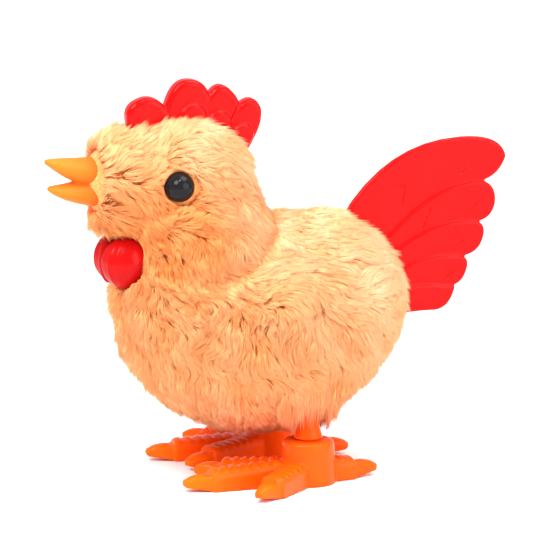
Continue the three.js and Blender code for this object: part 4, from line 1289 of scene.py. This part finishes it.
def soft_light(name, target, place, size, power):
    lamp = bpy.data.lights.new(name, "AREA")
    lamp.shape = "DISK"
    lamp.size = size
    lamp.energy = power
    light = bpy.data.objects.new(name, lamp)
    bpy.context.collection.objects.link(light)
    light.location = place
    light.rotation_euler = (Vector(target) - Vector(place)).to_track_quat("-Z", "Y").to_euler()


class ROOSTER_OT_stage(bpy.types.Operator):
    """Set up the camera, the soft light and the pale floor"""

    bl_idname = "rooster.stage"
    bl_label = "Stage"

    azimuth: bpy.props.FloatProperty(
        name="Azimuth", default=math.radians(74), subtype="ANGLE", description="Turn of the view"
    )
    elevation: bpy.props.FloatProperty(
        name="Elevation", default=math.radians(11.5), subtype="ANGLE", description="Height of the view"
    )
    distance: length_setting("Distance", 1500, "Distance from the camera to the bird")

    def execute(self, context):
        target = Vector((0, 0, VIEW_HEIGHT))
        flat = math.cos(self.elevation)
        away = Vector(
            (math.sin(self.azimuth) * flat, -math.cos(self.azimuth) * flat, math.sin(self.elevation))
        )
        camera_data = bpy.data.cameras.new("camera")
        camera_data.lens = LENS
        camera_data.sensor_width = 36
        camera_data.clip_start = 0.01
        camera_data.clip_end = 20
        camera = bpy.data.objects.new("camera", camera_data)
        context.collection.objects.link(camera)
        camera.location = target + away * self.distance
        camera.rotation_euler = (-away).to_track_quat("-Z", "Y").to_euler()
        context.scene.camera = camera

        for name, values in LIGHTS.items():
            soft_light(name, target, *values)

        world = bpy.data.worlds.new("studio")
        world.use_nodes = True
        # Pure white behind the bird, and a softer light from it.
        sky = world.node_tree.nodes["Background"]
        ray = world.node_tree.nodes.new("ShaderNodeLightPath")
        level = world.node_tree.nodes.new("ShaderNodeMapRange")
        level.inputs["To Min"].default_value = SKY_LIGHT
        level.inputs["To Max"].default_value = 1.0
        world.node_tree.links.new(ray.outputs["Is Camera Ray"], level.inputs["Value"])
        world.node_tree.links.new(level.outputs["Result"], sky.inputs["Strength"])
        sky.inputs["Color"].default_value = (1, 1, 1, 1)
        context.scene.world = world
        context.scene.view_settings.view_transform = "Standard"

        bpy.ops.mesh.primitive_grid_add(x_subdivisions=40, y_subdivisions=40, size=FLOOR_SIZE)
        floor = bpy.context.object
        floor.name = "floor"
        paper = Finish("floor_paper", (0.86, 0.86, 0.86), 0.7)
        grain = paper.mix(paper.noise(300), (0.84, 0.84, 0.84, 1), (0.88, 0.88, 0.88, 1))
        paper.set(paper.surface, {"Base Color": grain})
        floor.data.materials.append(paper.material)
        return {"FINISHED"}


class ROOSTER_PT_panel(bpy.types.Panel):
    """Lists the pieces of the bird and their settings"""

    bl_label = "Rooster"
    bl_idname = "ROOSTER_PT_panel"
    bl_space_type = "VIEW_3D"
    bl_region_type = "UI"
    bl_category = "Rooster"

    def draw(self, context):
        for settings in (context.scene.rooster_fur, context.scene.rooster_trim):
            box = self.layout.box()
            for name in type(settings).__annotations__:
                box.prop(settings, name)
        column = self.layout.column(align=True)
        for operator in OPERATORS:
            column.operator(operator.bl_idname)


OPERATORS = (
    ROOSTER_OT_stage,
    ROOSTER_OT_comb,
    ROOSTER_OT_tail,
    ROOSTER_OT_beak,
    ROOSTER_OT_wattle,
    ROOSTER_OT_eyes,
    ROOSTER_OT_feet,
    ROOSTER_OT_legs,
    ROOSTER_OT_knob,
    ROOSTER_OT_motor,
    ROOSTER_OT_fabric,
    ROOSTER_OT_fur,
)
CLASSES = (FurSettings, TrimSettings, *OPERATORS, ROOSTER_PT_panel)


def register():
    for cls in CLASSES:
        bpy.utils.register_class(cls)
    bpy.types.Scene.rooster_fur = bpy.props.PointerProperty(type=FurSettings)
    bpy.types.Scene.rooster_trim = bpy.props.PointerProperty(type=TrimSettings)


def unregister():
    del bpy.types.Scene.rooster_trim
    del bpy.types.Scene.rooster_fur
    for cls in reversed(CLASSES):
        bpy.utils.unregister_class(cls)


def main():
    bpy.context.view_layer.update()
    register()
    deselect_all()
    for operator in OPERATORS:
        group, name = operator.bl_idname.split(".")
        getattr(getattr(bpy.ops, group), name)()


if __name__ == "__main__":
    main()
